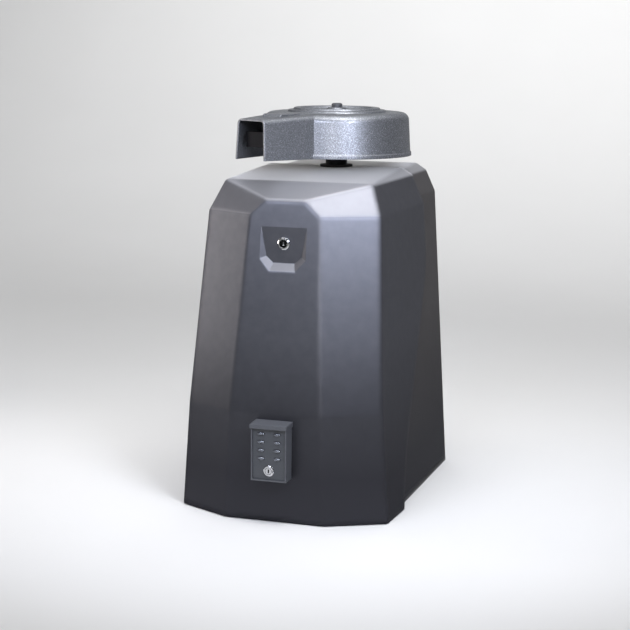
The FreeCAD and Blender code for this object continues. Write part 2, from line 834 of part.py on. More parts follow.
def bolt(name, x, y, foot, seat, shank_only):
    """A hexagon-head bolt standing on a seat, or the hole for its shank."""
    radius = "bolt_radius + running_clearance" if shank_only else "bolt_radius"
    shank = rod(name, radius, f"({seat}) - ({foot})", x, y, foot)
    if shank_only:
        return shank
    head = doc.addObject("Part::Prism", f"{name}_head")
    head.Polygon = 6
    tie(head, "Circumradius", "bolt_head_radius")
    tie(head, "Height", "bolt_head_height")
    return fuse(f"{name}_whole", shank, place(head, x, y, seat))


def foot_bolts(shank_only):
    seat = "shelf_height + housing_foot_height"
    return [bolt("foot_bolt", f"{across} * {FOOT_BOLT_X}", y, SHELF_FOOT, seat, shank_only)
            for across in SIGNS for y in FOOT_BOLT_Y]


def flange_bolts(shank_only):
    foot = "frame_height - frame_thickness"
    seat = "frame_height + flange_thickness"
    return [bolt("flange_bolt", f"{across} * {FLANGE_BOLT_X}", "0", foot, seat, shank_only)
            for across in SIGNS]


# Bearings
def bearing(name, bore, radius, width, x="0", y="0", z="0", turn=UPWARD):
    """A shielded ball bearing: two races with the shields set back."""
    dip = "bearing_race / 4"
    inner, outer = f"{bore} + bearing_race", f"{radius} - bearing_race"
    return turned(name, [
        (bore, "0"), (inner, "0"), (inner, dip), (outer, dip), (outer, "0"), (radius, "0"),
        (radius, width), (outer, width), (outer, f"{width} - {dip}"),
        (inner, f"{width} - {dip}"), (inner, width), (bore, width)], x, y, z, turn)


# Worm reducer
OUTPUT_BORE = "(shaft_radius + running_clearance)"
WORM_BORE = "(worm_journal_radius + running_clearance)"


def housing_outline():
    """Plan of the gear case, with its corners cut."""
    side, back, front = "housing_half_width", "housing_rear_reach", "-housing_front_reach"
    cut_off = "housing_corner"
    return [
        (side, f"{front} + {cut_off}"), (side, f"{back} - {cut_off}"), (f"{side} - {cut_off}", back),
        (f"{cut_off} - {side}", back), (f"-{side}", f"{back} - {cut_off}"),
        (f"-{side}", f"{front} + {cut_off}"), (f"{cut_off} - {side}", front),
        (f"{side} - {cut_off}", front)]


def make_reducer():
    case = plate("case_blank", "XY_Plane", housing_outline(), "housing_height", z="shelf_height")
    feet = block("case_feet", both_sides("housing_foot_half_width"),
                 ("-housing_front_reach", "housing_rear_reach"),
                 ("shelf_height", "shelf_height + housing_foot_height"))
    chamber = rod("wheel_chamber", "wheel_chamber_radius", "housing_height",
                  z="shelf_height + housing_floor")
    bore = rod("worm_bore", "worm_bearing_radius", "2 * housing_half_width",
               "-housing_half_width", "-worm_centre", "worm_height", ALONG_X)
    seat = rod("lower_seat", "output_bearing_radius", "housing_height",
               z="shelf_height + housing_floor - output_bearing_width")
    whole = fuse("case_whole", case, feet)
    node(cut("case", whole, chamber, bore, seat, *foot_bolts(shank_only=True)), "reducer_housing")

    lid = plate("lid_blank", "XY_Plane", housing_outline(), "lid_thickness", z="housing_top")
    upper_seat = rod("upper_seat", "output_bearing_radius", "output_bearing_width", z="housing_top")
    passage = rod("lid_passage", f"{OUTPUT_BORE} + bearing_race / 2", "frame_height", z="housing_top")
    node(cut("lid", lid, upper_seat, passage), "reducer_lid")

    lower = bearing("lower_bearing", OUTPUT_BORE, "output_bearing_radius", "output_bearing_width",
                    z="shelf_height + housing_floor - output_bearing_width")
    upper = bearing("upper_bearing", OUTPUT_BORE, "output_bearing_radius", "output_bearing_width",
                    z="housing_top")
    node(group("output_bearing_pair", lower, upper), "output_bearings")

    pair, caps = [], []
    for side in SIGNS:
        inner_end = "housing_half_width - worm_bearing_width" if side == "1" else "-housing_half_width"
        pair.append(bearing("worm_bearing", WORM_BORE, "worm_bearing_radius", "worm_bearing_width",
                            inner_end, "-worm_centre", "worm_height", ALONG_X))
    caps.append(turned("drive_cap", [
        (f"{WORM_BORE} + bearing_race / 4", "0"), ("end_cap_radius", "0"),
        ("end_cap_radius", "end_cap_thickness"),
        (f"{WORM_BORE} + bearing_race / 4", "end_cap_thickness")],
        "housing_half_width", "-worm_centre", "worm_height", ALONG_X))
    caps.append(rod("blind_cap", "end_cap_radius", "end_cap_thickness",
                    "-housing_half_width - end_cap_thickness", "-worm_centre", "worm_height",
                    ALONG_X))
    node(group("worm_bearing_pair", *pair), "worm_bearings")
    node(group("worm_cap_pair", *caps), "worm_end_caps")


def wheel_teeth():
    """The toothed rim, its teeth leaning with the worm's thread."""
    module, count = size("tooth_module"), int(size("tooth_count"))
    pitch = module * count / 2
    thick = math.pi * module / 2 - size("tooth_backlash")
    slope = math.tan(math.radians(20))
    flank = [
        (pitch - 1.25 * module, thick / 2 + 1.25 * module * slope),
        (pitch + module, thick / 2 - module * slope)]
    corners = []
    for tooth in range(count):
        middle = 2 * math.pi * (tooth + 0.5) / count - math.pi / 2
        for radius, half in [(r, -w) for r, w in flank] + [(r, w) for r, w in reversed(flank)]:
            turn = middle + half / radius
            corners.append(Vector(radius * math.cos(turn), radius * math.sin(turn), 0))
    lower = Part.makePolygon(corners + corners[:1])
    upper = lower.copy()
    lead = math.pi * module
    width = size("wheel_width")
    twist = math.degrees(lead / (2 * math.pi * size("worm_pitch_radius")) * width / pitch)
    lower.rotate(Vector(), Vector(0, 0, 1), -twist / 2)
    lower.translate(Vector(0, 0, -width / 2))
    upper.rotate(Vector(), Vector(0, 0, 1), twist / 2)
    upper.translate(Vector(0, 0, width / 2))
    return Part.makeLoft([lower, upper], True, True)


def worm_thread():
    """The worm's single thread, with a crest facing the wheel's mid-plane."""
    module = size("tooth_module")
    lead = math.pi * module
    turns = 2 * int(size("worm_length") / lead / 2) + 0.5
    root = size("worm_pitch_radius") - 1.25 * module
    tip = size("worm_pitch_radius") + module
    slope = math.tan(math.radians(20))
    thick = math.pi * module / 2
    inset = module / 4
    at_root = thick / 2 + (1.25 * module + inset) * slope
    at_tip = thick / 2 - module * slope
    section = [(root - inset, -at_root), (tip, -at_tip), (tip, at_tip), (root - inset, at_root)]
    wire = Part.makePolygon([Vector(r, 0, z) for r, z in section + section[:1]])
    path = Part.Wire(Part.makeHelix(lead, turns * lead, root).Edges)
    thread = path.makePipeShell([wire], True, True)
    thread.translate(Vector(0, 0, -turns * lead / 2))
    return thread


def make_gears():
    teeth = shaped("wheel_teeth", wheel_teeth())
    hub = rod("wheel_hub", "wheel_hub_radius", "wheel_hub_length", z="-wheel_hub_length / 2")
    bore = rod("wheel_bore", OUTPUT_BORE, "wheel_hub_length", z="-wheel_hub_length / 2")
    wheel = cut("wheel", fuse("wheel_whole", teeth, hub), bore)
    node(place(wheel, z="worm_height"), "worm_wheel")

    core = "worm_pitch_radius - 1.25 * tooth_module"
    journal = "worm_journal_radius"
    end = "drive_plane + pulley_width / 2"
    spindle = turned("worm_spindle", [
        ("0", "-housing_half_width"), (journal, "-housing_half_width"),
        (journal, "-worm_length / 2 - tooth_module"), (core, "-worm_length / 2 - tooth_module"),
        (core, "worm_length / 2 + tooth_module"), (journal, "worm_length / 2 + tooth_module"),
        (journal, end), ("0", end)])
    worm = fuse("worm", spindle, shaped("worm_thread", worm_thread()))
    node(place(worm, "0", "-worm_centre", "worm_height", ALONG_X), "worm_shaft")

    stud_bore = "stud_radius + running_clearance"
    node(turned("main_shaft", [
        ("0", "shaft_foot"), ("shaft_radius", "shaft_foot"), ("shaft_radius", "shaft_top"),
        (stud_bore, "shaft_top"), (stud_bore, "shaft_top - stud_depth"),
        ("0", "shaft_top - stud_depth")]), "output_shaft")
    node(cut("flange_unit", turned("flange_body", [
        (OUTPUT_BORE, "0"), ("flange_radius", "0"), ("flange_radius", "flange_thickness"),
        ("flange_hub_radius", "flange_thickness"), ("flange_hub_radius", "flange_hub_height"),
        (OUTPUT_BORE, "flange_hub_height")], z="frame_height"),
        *flange_bolts(shank_only=True)), "flange_bearing")
    node(turned("grommet", [
        (f"{OUTPUT_BORE} + running_clearance", "grommet_foot"),
        ("shaft_opening_radius", "grommet_foot"), ("shaft_opening_radius", "grommet_top"),
        (f"{OUTPUT_BORE} + running_clearance", "grommet_top")]), "shaft_grommet")
    node(group("bolt_set", *foot_bolts(shank_only=False), *flange_bolts(shank_only=False)),
         "frame_bolts")


# Belt drive
MOTOR_BORE = "(motor_shaft_radius + running_clearance)"


def groove(pitch):
    """The V-groove of a pulley, from one lip to the other."""
    lip = f"{pitch} + pulley_lip"
    bottom = f"{pitch} + pulley_lip - belt_height - belt_clearance"
    wide = "(belt_width / 2 + belt_clearance)"
    narrow = "(belt_width / 2 - belt_taper + belt_clearance)"
    return [(lip, "-pulley_width / 2"), (lip, f"-{wide}"), (bottom, f"-{narrow}"),
            (bottom, narrow), (lip, wide), (lip, "pulley_width / 2")]


def make_pulleys():
    half, web = "pulley_width / 2", "pulley_web / 2"
    rim = "worm_pulley_radius - belt_height - 2 * pulley_lip"
    hub = "pulley_hub_radius"
    spoked = turned("worm_pulley_blank", [
        (WORM_BORE, f"-{half}"), (hub, f"-{half}"), (hub, f"-{web}"), (rim, f"-{web}"),
        (rim, f"-{half}"), *groove("worm_pulley_radius"), (rim, half), (rim, web), (hub, web),
        (hub, half), (WORM_BORE, half)])
    spokes = 5
    holes = [
        rod("web_hole", f"({rim} - {hub}) / 3", "pulley_width",
            f"({rim} + {hub}) / 2 * cos({hole} * 360 deg / {spokes})",
            f"({rim} + {hub}) / 2 * sin({hole} * 360 deg / {spokes})", f"-{half}")
        for hole in range(spokes)]
    node(place(cut("worm_pulley", spoked, *holes), "drive_plane", "-worm_centre", "worm_height",
               ALONG_X), "reducer_pulley")
    small = turned("small_pulley", [
        (MOTOR_BORE, f"-{half}"), *groove("motor_pulley_radius"), (MOTOR_BORE, half)],
        "drive_plane", "-motor_reach", "motor_height", ALONG_X)
    node(small, "motor_pulley")


def drive_belt():
    """A V-belt swept round both pulleys on its outer line."""
    lip = size("pulley_lip")
    wheel = Vector(0, -size("worm_centre"), size("worm_height"))
    motor = Vector(0, -size("motor_reach"), size("motor_height"))
    wheel_radius, motor_radius = size("worm_pulley_radius") + lip, size("motor_pulley_radius") + lip
    ahead = wheel - motor
    reach = ahead.Length
    ahead.normalize()
    aside = Vector(1, 0, 0).cross(ahead)
    lean = (wheel_radius - motor_radius) / reach
    touch = [aside * (side * math.sqrt(1 - lean ** 2)) - ahead * lean for side in (1, -1)]
    on_motor = [motor + way * motor_radius for way in touch]
    on_wheel = [wheel + way * wheel_radius for way in touch]
    path = Part.Wire([
        Part.makeLine(on_motor[0], on_wheel[0]),
        Part.Arc(on_wheel[0], wheel + ahead * wheel_radius, on_wheel[1]).toShape(),
        Part.makeLine(on_wheel[1], on_motor[1]),
        Part.Arc(on_motor[1], motor - ahead * motor_radius, on_motor[0]).toShape()])
    across, inward = Vector(size("belt_width") / 2, 0, 0), touch[0] * -size("belt_height")
    taper = Vector(size("belt_taper"), 0, 0)
    start = on_motor[0]
    corners = [start - across, start + across, start + across - taper + inward,
               start - across + taper + inward]
    belt = path.makePipeShell([Part.makePolygon(corners + corners[:1])], True, False)
    return belt


# Motor
AWAY_X = FreeCAD.Rotation(Vector(0, 1, 0), -90)


def make_motor():
    axis = ("-motor_reach", "motor_height")
    half = "motor_length / 2"
    inside = "motor_radius - motor_wall"
    node(turned("motor_tube", [
        (inside, f"-{half}"), ("motor_radius", f"-{half}"), ("motor_radius", half), (inside, half)],
        "0", *axis, ALONG_X), "motor_shell")
    node(turned("stator", [
        ("stator_bore_radius", "-stator_length / 2"), (inside, "-stator_length / 2"),
        (inside, "stator_length / 2"), ("stator_bore_radius", "stator_length / 2")],
        "0", *axis, ALONG_X), "motor_stator")
    shaft, end = "motor_shaft_radius", "drive_plane + pulley_width / 2"
    node(turned("rotor", [
        ("0", "-motor_shaft_foot"), (shaft, "-motor_shaft_foot"), (shaft, "-rotor_length / 2"),
        ("rotor_radius", "-rotor_length / 2"), ("rotor_radius", "rotor_length / 2"),
        (shaft, "rotor_length / 2"), (shaft, end), ("0", end)], "0", *axis, ALONG_X), "motor_rotor")
    seat_depth = "bell_wall + motor_bearing_width / 2"
    bells, pair = [], []
    for side, turn in (("1", ALONG_X), ("-1", AWAY_X)):
        bells.append(turned("bell", [
            ("motor_bearing_radius", "0"), ("motor_radius", "0"),
            ("motor_radius", "bell_wall / 2"), ("bell_nose_radius", "bell_wall * 1.5"),
            ("bell_nose_radius", "bell_length"), (f"{shaft} + fit_clearance", "bell_length"),
            (f"{shaft} + fit_clearance", seat_depth), ("motor_bearing_radius", seat_depth)],
            f"{side} * {half}", *axis, turn))
        pair.append(bearing("motor_bearing", f"({shaft} + running_clearance)", "motor_bearing_radius",
                            "motor_bearing_width",
                            f"{side} * ({half} + bell_wall - motor_bearing_width / 2)", *axis, turn))
    node(group("bell_pair", *bells), "motor_end_bells")
    node(group("motor_bearing_pair", *pair), "motor_bearings")

    floor = ("base_thickness", "base_thickness + motor_base_rib")
    along = ("-motor_reach - motor_base_half_width", "motor_base_half_width - motor_reach")
    foot = block("cradle_floor", both_sides("motor_base_half_length"), along, floor)
    middle = "(motor_base_half_length - motor_base_rib / 2)"
    ribs = [
        block("cradle_rib", (f"{side} * {middle} - motor_base_rib / 2",
                             f"{side} * {middle} + motor_base_rib / 2"),
              along, ("base_thickness", "motor_saddle_height")) for side in SIGNS]
    space = rod("cradle_space", "motor_radius + running_clearance", "2 * motor_base_half_length",
                "-motor_base_half_length", *axis, ALONG_X)
    node(cut("cradle", fuse("cradle_whole", foot, *ribs), space), "motor_base")
    node(rod("capacitor", "capacitor_radius", "capacitor_length", "-capacitor_length / 2",
             "-motor_reach", "motor_height + motor_radius + capacitor_radius + fit_clearance", ALONG_X),
         "motor_capacitor")


# Control box
CONTROL_BACK = "-frame_nose_reach"
CONTROL_FRONT = "-frame_nose_reach - control_depth"
BOARD_FACE = "-frame_nose_reach - control_wall - board_standoff - board_thickness"


def make_control_box():
    wide, high = both_sides("control_half_width"), ("control_bottom", "control_top")
    tray = block("tray_blank", wide, (CONTROL_FRONT, CONTROL_BACK), high)
    space = block("tray_space", both_sides("control_half_width - control_wall"),
                  (CONTROL_FRONT, f"{CONTROL_BACK} - control_wall"),
                  ("control_bottom + control_wall", "control_top - control_wall"))
    posts = [
        rod("board_post", "board_standoff / 2", "board_standoff",
            f"{across} * (board_half_width - board_standoff)", f"{CONTROL_BACK} - control_wall", level,
            FORWARD)
        for across in SIGNS for level in ("board_bottom + board_standoff", "board_top - board_standoff")]
    node(fuse("tray", cut("tray_shell", tray, space), *posts), "control_box")
    lid = block("control_lid_blank", wide, (f"{CONTROL_FRONT} - control_wall", CONTROL_FRONT), high)
    window = block("switch_window",
                   ("-switch_offset - switch_half_width - fit_clearance",
                    "switch_half_width + fit_clearance - switch_offset"),
                   (f"{CONTROL_FRONT} - 2 * control_wall", f"{CONTROL_FRONT} + control_wall"),
                   ("switch_level - switch_height / 2 - 4 * fit_clearance",
                    "switch_level + switch_height / 2 + 4 * fit_clearance"))
    hole = rod("button_hole", "button_radius + fit_clearance", "3 * control_wall", "switch_offset",
               f"{CONTROL_FRONT} + control_wall", "switch_level", FORWARD)
    node(cut("control_lid", lid, window, hole), "control_box_lid")
    node(block("board", both_sides("board_half_width"), (BOARD_FACE, f"{BOARD_FACE} + board_thickness"),
               ("board_bottom", "board_top")), "control_board")
    inner = "board_half_width - component_margin"
    shelf_top = "board_top - component_margin"
    relay_start = f"-({inner}) + transformer_width + component_margin"
    parts = [
        ("terminals", both_sides(inner), "terminal_depth",
         ("board_bottom + component_margin", "board_bottom + component_margin + terminal_height")),
        ("transformer", (f"-({inner})", f"-({inner}) + transformer_width"), "transformer_depth",
         (f"{shelf_top} - transformer_height", shelf_top))]
    for number in range(2):
        left = f"{relay_start} + {number} * relay_pitch"
        parts.append(("relay", (left, f"{left} + relay_width"), "relay_depth",
                      (f"{shelf_top} - relay_height", shelf_top)))
    node(group("board_set", *[block(name, wide, (f"{BOARD_FACE} - {proud}", BOARD_FACE), high)
                              for name, wide, proud, high in parts]), "board_components")
    pivot = f"{CONTROL_FRONT} - control_wall / 2"
    left = "-switch_offset - switch_half_width"
    paddle = block("rocker_paddle", (left, "switch_half_width - switch_offset"),
                   (f"{pivot} - switch_thickness / 2", f"{pivot} + switch_thickness / 2"),
                   ("switch_level - switch_height / 2", "switch_level + switch_height / 2"))
    barrel = rod("rocker_barrel", "switch_barrel_radius", "2 * switch_half_width", left, pivot,
                 "switch_level", ALONG_X)
    node(fuse("rocker", paddle, barrel), "power_switch")
    node(turned("button", [
        ("0", "-control_wall"), ("button_radius + control_wall", "-control_wall"),
        ("button_radius + control_wall", "0"), ("button_radius", "0"),
        ("button_radius", "2 * control_wall + button_stroke"), ("0", "2 * control_wall + button_stroke")],
        "switch_offset", CONTROL_FRONT, "switch_level", FORWARD), "reset_button")


# Limit cams and sensors
def make_limits():
    cams, sensors, holes = [], [], []
    face = "cam_lobe_reach + cam_lobe_radius + sensor_gap"
    for step, angle in enumerate(("cam_open_angle", "cam_closed_angle")):
        level = f"cam_level - {step} * cam_spacing"
        disc = rod("cam_disc", "cam_radius", "cam_thickness")
        lobe = rod("cam_lobe", "cam_lobe_radius", "cam_thickness", "cam_lobe_reach")
        bore = rod("cam_bore", OUTPUT_BORE, "cam_thickness")
        cam = place(cut("cam", fuse("cam_whole", disc, lobe), bore), z=f"{level} - cam_thickness / 2",
                    turn=FreeCAD.Rotation(Vector(0, 0, 1), size(angle)))
        cams.append(cam)
        sensors.append(rod("sensor", "sensor_radius", "sensor_length", "0",
                           f"{face} + sensor_length", level, FORWARD))
        holes.append(rod("sensor_hole", "sensor_radius + running_clearance", "sensor_length", "0",
                         f"{face} + sensor_length", level, FORWARD))
    node(group("cam_pair", *cams), "limit_cams")
    node(group("sensor_pair", *sensors), "limit_sensors")
    ceiling = "frame_height - frame_thickness"
    upright = block("sensor_upright", both_sides("sensor_bracket_half_width"),
                    ("sensor_bracket_reach", "sensor_bracket_reach + sensor_bracket_thickness"),
                    ("cam_level - cam_spacing - sensor_radius - sensor_bracket_margin", ceiling))
    foot = block("sensor_foot", both_sides("sensor_bracket_half_width"),
                 ("sensor_bracket_reach", "sensor_bracket_reach + sensor_bracket_foot"),
                 (f"{ceiling} - sensor_bracket_thickness", ceiling))
    node(cut("sensor_bracket", fuse("sensor_angle", upright, foot), *holes), "limit_bracket")


# Crank and its cover
def swing(thing, z="0"):
    """Turn a piece drawn along +X to the crank's resting angle."""
    place(thing, z=z, turn=FreeCAD.Rotation(Vector(0, 0, 1), size("crank_angle")))
    return thing


def make_crank():
    barrel = rod("hub_barrel", "hub_radius", "hub_height")
    ears = block("hub_ears", ("-hub_ear_reach", "0"), both_sides("hub_ear_half_width"),
                 ("0", "hub_height"))
    slit = block("hub_slit_space", ("-hub_ear_reach", "0"), both_sides("hub_slit / 2"),
                 ("0", "hub_height"))
    bore = rod("hub_bore", OUTPUT_BORE, "hub_height")
    ear_middle = "-(hub_ear_reach + hub_radius) / 2"
    ear_face = "hub_ear_half_width"
    bolts, holes = [], []
    for level in ("hub_height / 4", "hub_height * 3 / 4"):
        holes.append(rod("ear_hole", "bolt_radius + running_clearance", f"2 * {ear_face}", ear_middle,
                         ear_face, level, FORWARD))
        shank = rod("ear_bolt", "bolt_radius", f"2 * {ear_face}", ear_middle, ear_face, level, FORWARD)
        head = doc.addObject("Part::Prism", "ear_bolt_head")
        head.Polygon = 6
        tie(head, "Circumradius", "bolt_head_radius")
        tie(head, "Height", "bolt_head_height")
        place(head, ear_middle, f"{ear_face} + bolt_head_height", level, FORWARD)
        bolts.append(fuse("ear_bolt_whole", shank, head))
    hub = cut("hub", fuse("hub_whole", barrel, ears), bore, slit, *holes)
    node(swing(hub, "hub_foot"), "crank_hub")
    node(swing(group("ear_bolt_pair", *bolts), "hub_foot"), "clamp_bolts")

    shoulder = "crank_tip_reach - crank_tip_bevel"
    tip_half = "crank_half_width - crank_tip_bevel"
    bar = plate("bar_blank", "XY_Plane", [
        ("0", "-crank_half_width"), (shoulder, "-crank_half_width"), ("crank_tip_reach", f"-({tip_half})"),
        ("crank_tip_reach", tip_half), (shoulder, "crank_half_width"), ("0", "crank_half_width")],
        "crank_height")
    pin = rod("bar_pin", "crank_pin_radius", "crank_height", "crank_pin_reach")
    root = rod("bar_root", "hub_radius", "crank_height")
    node(swing(cut("bar", bar, pin, root), "crank_foot"), "crank_bar")


def revolved(points):
    """A solid of revolution about Z from (radius, height, rounding) corners."""
    edges = rounded_path(points)
    axis = Part.makeLine(edges[-1].Vertexes[-1].Point, edges[0].Vertexes[0].Point)
    return Part.Face(Part.Wire(edges + [axis])).revolve(Vector(), Vector(0, 0, 1), 360)


def spout(wall):
    """The channel over the crank, or its inside when a wall is given."""
    half, root_half = size("spout_half_width"), size("spout_root_half_width")
    root_reach = math.sqrt(size("cap_rim_radius") ** 2 - root_half ** 2)
    lean = math.hypot(1, (root_half - half) / (size("spout_reach") - root_reach))
    side = wall * lean
    end = size("spout_reach") + 2 * wall
    low = -2 * wall
    inner = root_reach / 2
    root = Vector(root_reach, root_half - side, 0)
    foot = Vector(size("spout_reach"), half - side, 0)
    tip = Vector(foot.x, foot.y - size("spout_draft"), size("spout_height") - wall)
    ceiling = Vector(root_reach, 0, size("spout_root_height") - wall)
    facets = [
        [root, foot, tip],
        [Vector(root.x, -root.y, 0), Vector(foot.x, -foot.y, 0), Vector(tip.x, -tip.y, tip.z)],
        [ceiling, tip, Vector(tip.x, -tip.y, tip.z)],
        [Vector(0, 0, low), Vector(1, 0, low), Vector(0, 1, low)],
        [Vector(end, 0, 0), Vector(end, 1, 0), Vector(end - size("spout_rake"), 0, tip.z)],
        [Vector(inner, 0, 0), Vector(inner, 1, 0), Vector(inner, 0, 1)]]
    solid = faceted(facets, Vector((root.x + tip.x) / 2, 0, tip.z / 2))
    high = [edge for edge in solid.Edges
            if abs(edge.tangentAt(edge.FirstParameter).x) > 0.5 and edge.CenterOfMass.z > tip.z / 2]
    return solid.makeFillet(size("spout_rounding") - wall, high)


def ridge():
    """The raised strip on the spout, from the cap's top to near the mouth."""
    half, soft = size("ridge_half_width"), size("ridge_rounding")
    reach = size("spout_reach")
    root_reach = math.sqrt(size("cap_rim_radius") ** 2 - size("spout_root_half_width") ** 2)
    end = reach - size("ridge_end_setback")
    slope = (size("spout_root_height") - size("spout_height")) / (reach - root_reach)
    low = size("spout_height") + slope * size("ridge_end_setback") + size("ridge_rise")
    root, sunk = size("cap_plateau_radius"), size("cap_wall") / 2
    top = size("cap_height")
    drop = size("ridge_rise") + sunk
    corners = [
        Vector(root, -half, top - sunk), Vector(root, -half, top + size("ridge_root_rise")),
        Vector(size("cap_step_radius"), -half, top + size("ridge_root_rise")),
        Vector(end, -half, low), Vector(end + drop, -half, low - drop)]
    solid = Part.Face(Part.makePolygon(corners + corners[:1])).extrude(Vector(0, 2 * half, 0))
    high = [edge for edge in solid.Edges
            if edge.BoundBox.ZMin > low - soft and edge.BoundBox.XMax > end - soft]
    return solid.makeFillet(soft, high)


def arm_cover_form():
    rim, lip, wall = size("cap_rim_radius"), size("cap_lip"), size("cap_wall")
    top, step = size("cap_height"), size("cap_step")
    plateau = top + 2 * step
    dish = plateau - size("cap_dish")
    soft = step / 3
    outer = revolved([
        (0, 0, 0), (rim, 0, 0), (rim, size("cap_lip_height"), lip / 3),
        (rim - lip, size("cap_lip_height") + lip, lip / 3),
        (size("cap_top_radius"), top, size("cap_rounding")),
        (size("cap_step_radius") + step / 2, top, soft), (size("cap_step_radius"), top + step, soft),
        (size("cap_plateau_radius") + step / 2, top + step, soft),
        (size("cap_plateau_radius"), plateau, soft), (size("cap_dish_radius"), plateau, soft),
        (size("cap_dish_radius") - size("cap_dish"), dish, soft),
        (size("cap_boss_radius") + step / 2, dish, soft), (size("cap_boss_radius"), plateau, soft),
        (0, plateau, 0)])
    inner = revolved([
        (0, -wall, 0), (rim - lip - wall, -wall, 0),
        (size("cap_top_radius") - wall, top - wall, size("cap_rounding") - wall), (0, top - wall, 0)])
    shell = outer.fuse([spout(0), ridge()]).cut(inner.fuse(spout(wall)))
    hub_top = size("hub_foot") + size("hub_height") - size("cap_foot")
    post = Part.makeCylinder(size("cap_post_radius"), top - wall - hub_top, Vector(0, 0, hub_top))
    stud_hole = Part.makeCylinder(size("stud_radius") + size("running_clearance"), plateau)
    shaft_room = Part.makeCylinder(size("shaft_radius") + size("fit_clearance"), top - wall)
    return shell.fuse(post).cut(shaft_room).cut(stud_hole).removeSplitter()


def make_arm_cover():
    node(swing(shaped("arm_cap", arm_cover_form()), "cap_foot"), "arm_cover")
    seat = "cap_foot + cap_height + 2 * cap_step"
    foot = "shaft_top - stud_depth + fit_clearance"
    node(turned("cap_nut", [
        ("0", foot), ("stud_radius", foot), ("stud_radius", seat), ("nut_radius", seat),
        ("nut_radius", f"{seat} + nut_height * 3 / 4"), ("nut_radius * 3 / 4", f"{seat} + nut_height"),
        ("0", f"{seat} + nut_height")]), "arm_cover_nut")


# Locks
LOCK_SEAT = ("(nose_lean * (recess_top_height - break_height) - break_nose_reach"
             " - edge_radius * sqrt(1 + nose_lean^2))")
LOCK_BACK = f"({LOCK_SEAT} + lock_barrel_length)"


def lock_body(name, face_radius, proud, barrel_radius, length, plug, well, y, z):
    """A key lock's case: a domed face with a well round the plug."""
    bore, edge = f"{plug} + lock_clearance", f"{proud} / 3"
    return turned(name, [
        (bore, f"-({length})"), (barrel_radius, f"-({length})"), (barrel_radius, "0"),
        (face_radius, "0"), (face_radius, edge), (f"{face_radius} - {edge} / 2", f"2 * {edge}"),
        (f"{face_radius} - 2 * {edge}", proud), (well, proud), (well, f"{proud} - lock_well_depth"),
        (bore, f"{proud} - lock_well_depth")], "0", y, z, FORWARD)


def lock_plug(name, radius, proud, length, y, z):
    """A key plug with its slot, flush with the lock's face."""
    plug = rod(f"{name}_rod", radius, f"{proud} + {length}", "0", f"{y} + {length}", z, FORWARD)
    slot = block(f"{name}_slot", both_sides("key_slot_width / 2"),
                 (f"{y} - 2 * {proud}", f"{y} - {proud} + key_slot_depth"),
                 (f"{z} - key_slot_length / 2", f"{z} + key_slot_length / 2"))
    return cut(name, plug, slot)


def make_cover_lock():
    node(lock_body("cover_lock_case", "lock_face_radius", "lock_face", "lock_barrel_radius",
                   "lock_barrel_length", "lock_plug_radius", "lock_well_radius", LOCK_SEAT,
                   "lock_height"),
         "cover_lock_body")
    node(lock_plug("cover_plug", "lock_plug_radius", "lock_face", "lock_barrel_length", LOCK_SEAT,
                   "lock_height"), "cover_lock_plug")
    cam_space = (LOCK_BACK, f"{LOCK_BACK} + lock_cam_thickness")
    disc = rod("lock_cam_disc", "lock_plug_radius", "lock_cam_thickness", "0",
               f"{LOCK_BACK} + lock_cam_thickness", "lock_height", FORWARD)
    finger = block("lock_cam_finger", both_sides("lock_cam_half_width"), cam_space,
                   ("lock_height - lock_cam_length", "lock_height"))
    node(fuse("lock_cam", disc, finger), "cover_lock_cam")
    tab_back = f"{LOCK_BACK} - striker_gap"
    striker_side = ("striker_offset", "striker_offset + striker_width")
    tab = block("striker_tab", striker_side,
                (f"{tab_back} - striker_thickness", tab_back), ("control_top", "striker_top"))
    foot = block("striker_foot", striker_side,
                 (f"{tab_back} - striker_thickness", CONTROL_BACK),
                 ("control_top", "control_top + striker_thickness"))
    node(fuse("striker", tab, foot), "lock_striker")


# Keypad box
KEYPAD_FACE = "(-base_nose_reach - edge_radius - keypad_depth)"
PANEL_FRONT = f"({KEYPAD_FACE} + keypad_panel_setback)"
PANEL_BACK = f"({PANEL_FRONT} + keypad_panel)"
HOOD_FOOT = "keypad_top - hood_height"


def key_places():
    """Column and level of each key, left column first, top to bottom."""
    rows = range(int(size("key_rows")))
    return [(side, f"key_top_level - {row} * key_pitch") for side in ("-1", "1") for row in rows]


def key_prism(name, side, level, grow, near, far):
    """An oval column through the panel, for a key or its hole."""
    oval = doc.addObject("Part::Ellipse", f"{name}_oval")
    tie(oval, "MajorRadius", f"key_half_width + {grow}")
    tie(oval, "MinorRadius", f"key_half_height + {grow}")
    column = doc.addObject("Part::Extrusion", name)
    column.Base = oval
    column.DirMode = "Custom"
    column.Dir = Vector(0, 0, 1)
    column.Solid = True
    tie(column, "LengthFwd", f"({far}) - ({near})")
    return place(column, f"{side} * key_offset", far, level, FORWARD)


def make_keys():
    for number, (side, level) in enumerate(key_places(), 1):
        front = f"{PANEL_FRONT} - key_rim"
        stem = key_prism("key_stem", side, level, "0", front, PANEL_BACK)
        collar = key_prism("key_flange", side, level, "key_collar", PANEL_BACK,
                           f"{PANEL_BACK} + key_collar")
        dome = doc.addObject("Part::Ellipsoid", "key_dome_cap")
        dome.Angle1 = 0
        tie(dome, "Radius1", "key_dome")
        tie(dome, "Radius2", "key_half_width")
        tie(dome, "Radius3", "key_half_height")
        place(dome, f"{side} * key_offset", front, level, FORWARD)
        node(fuse("key", stem, collar, dome), f"key_{number}")


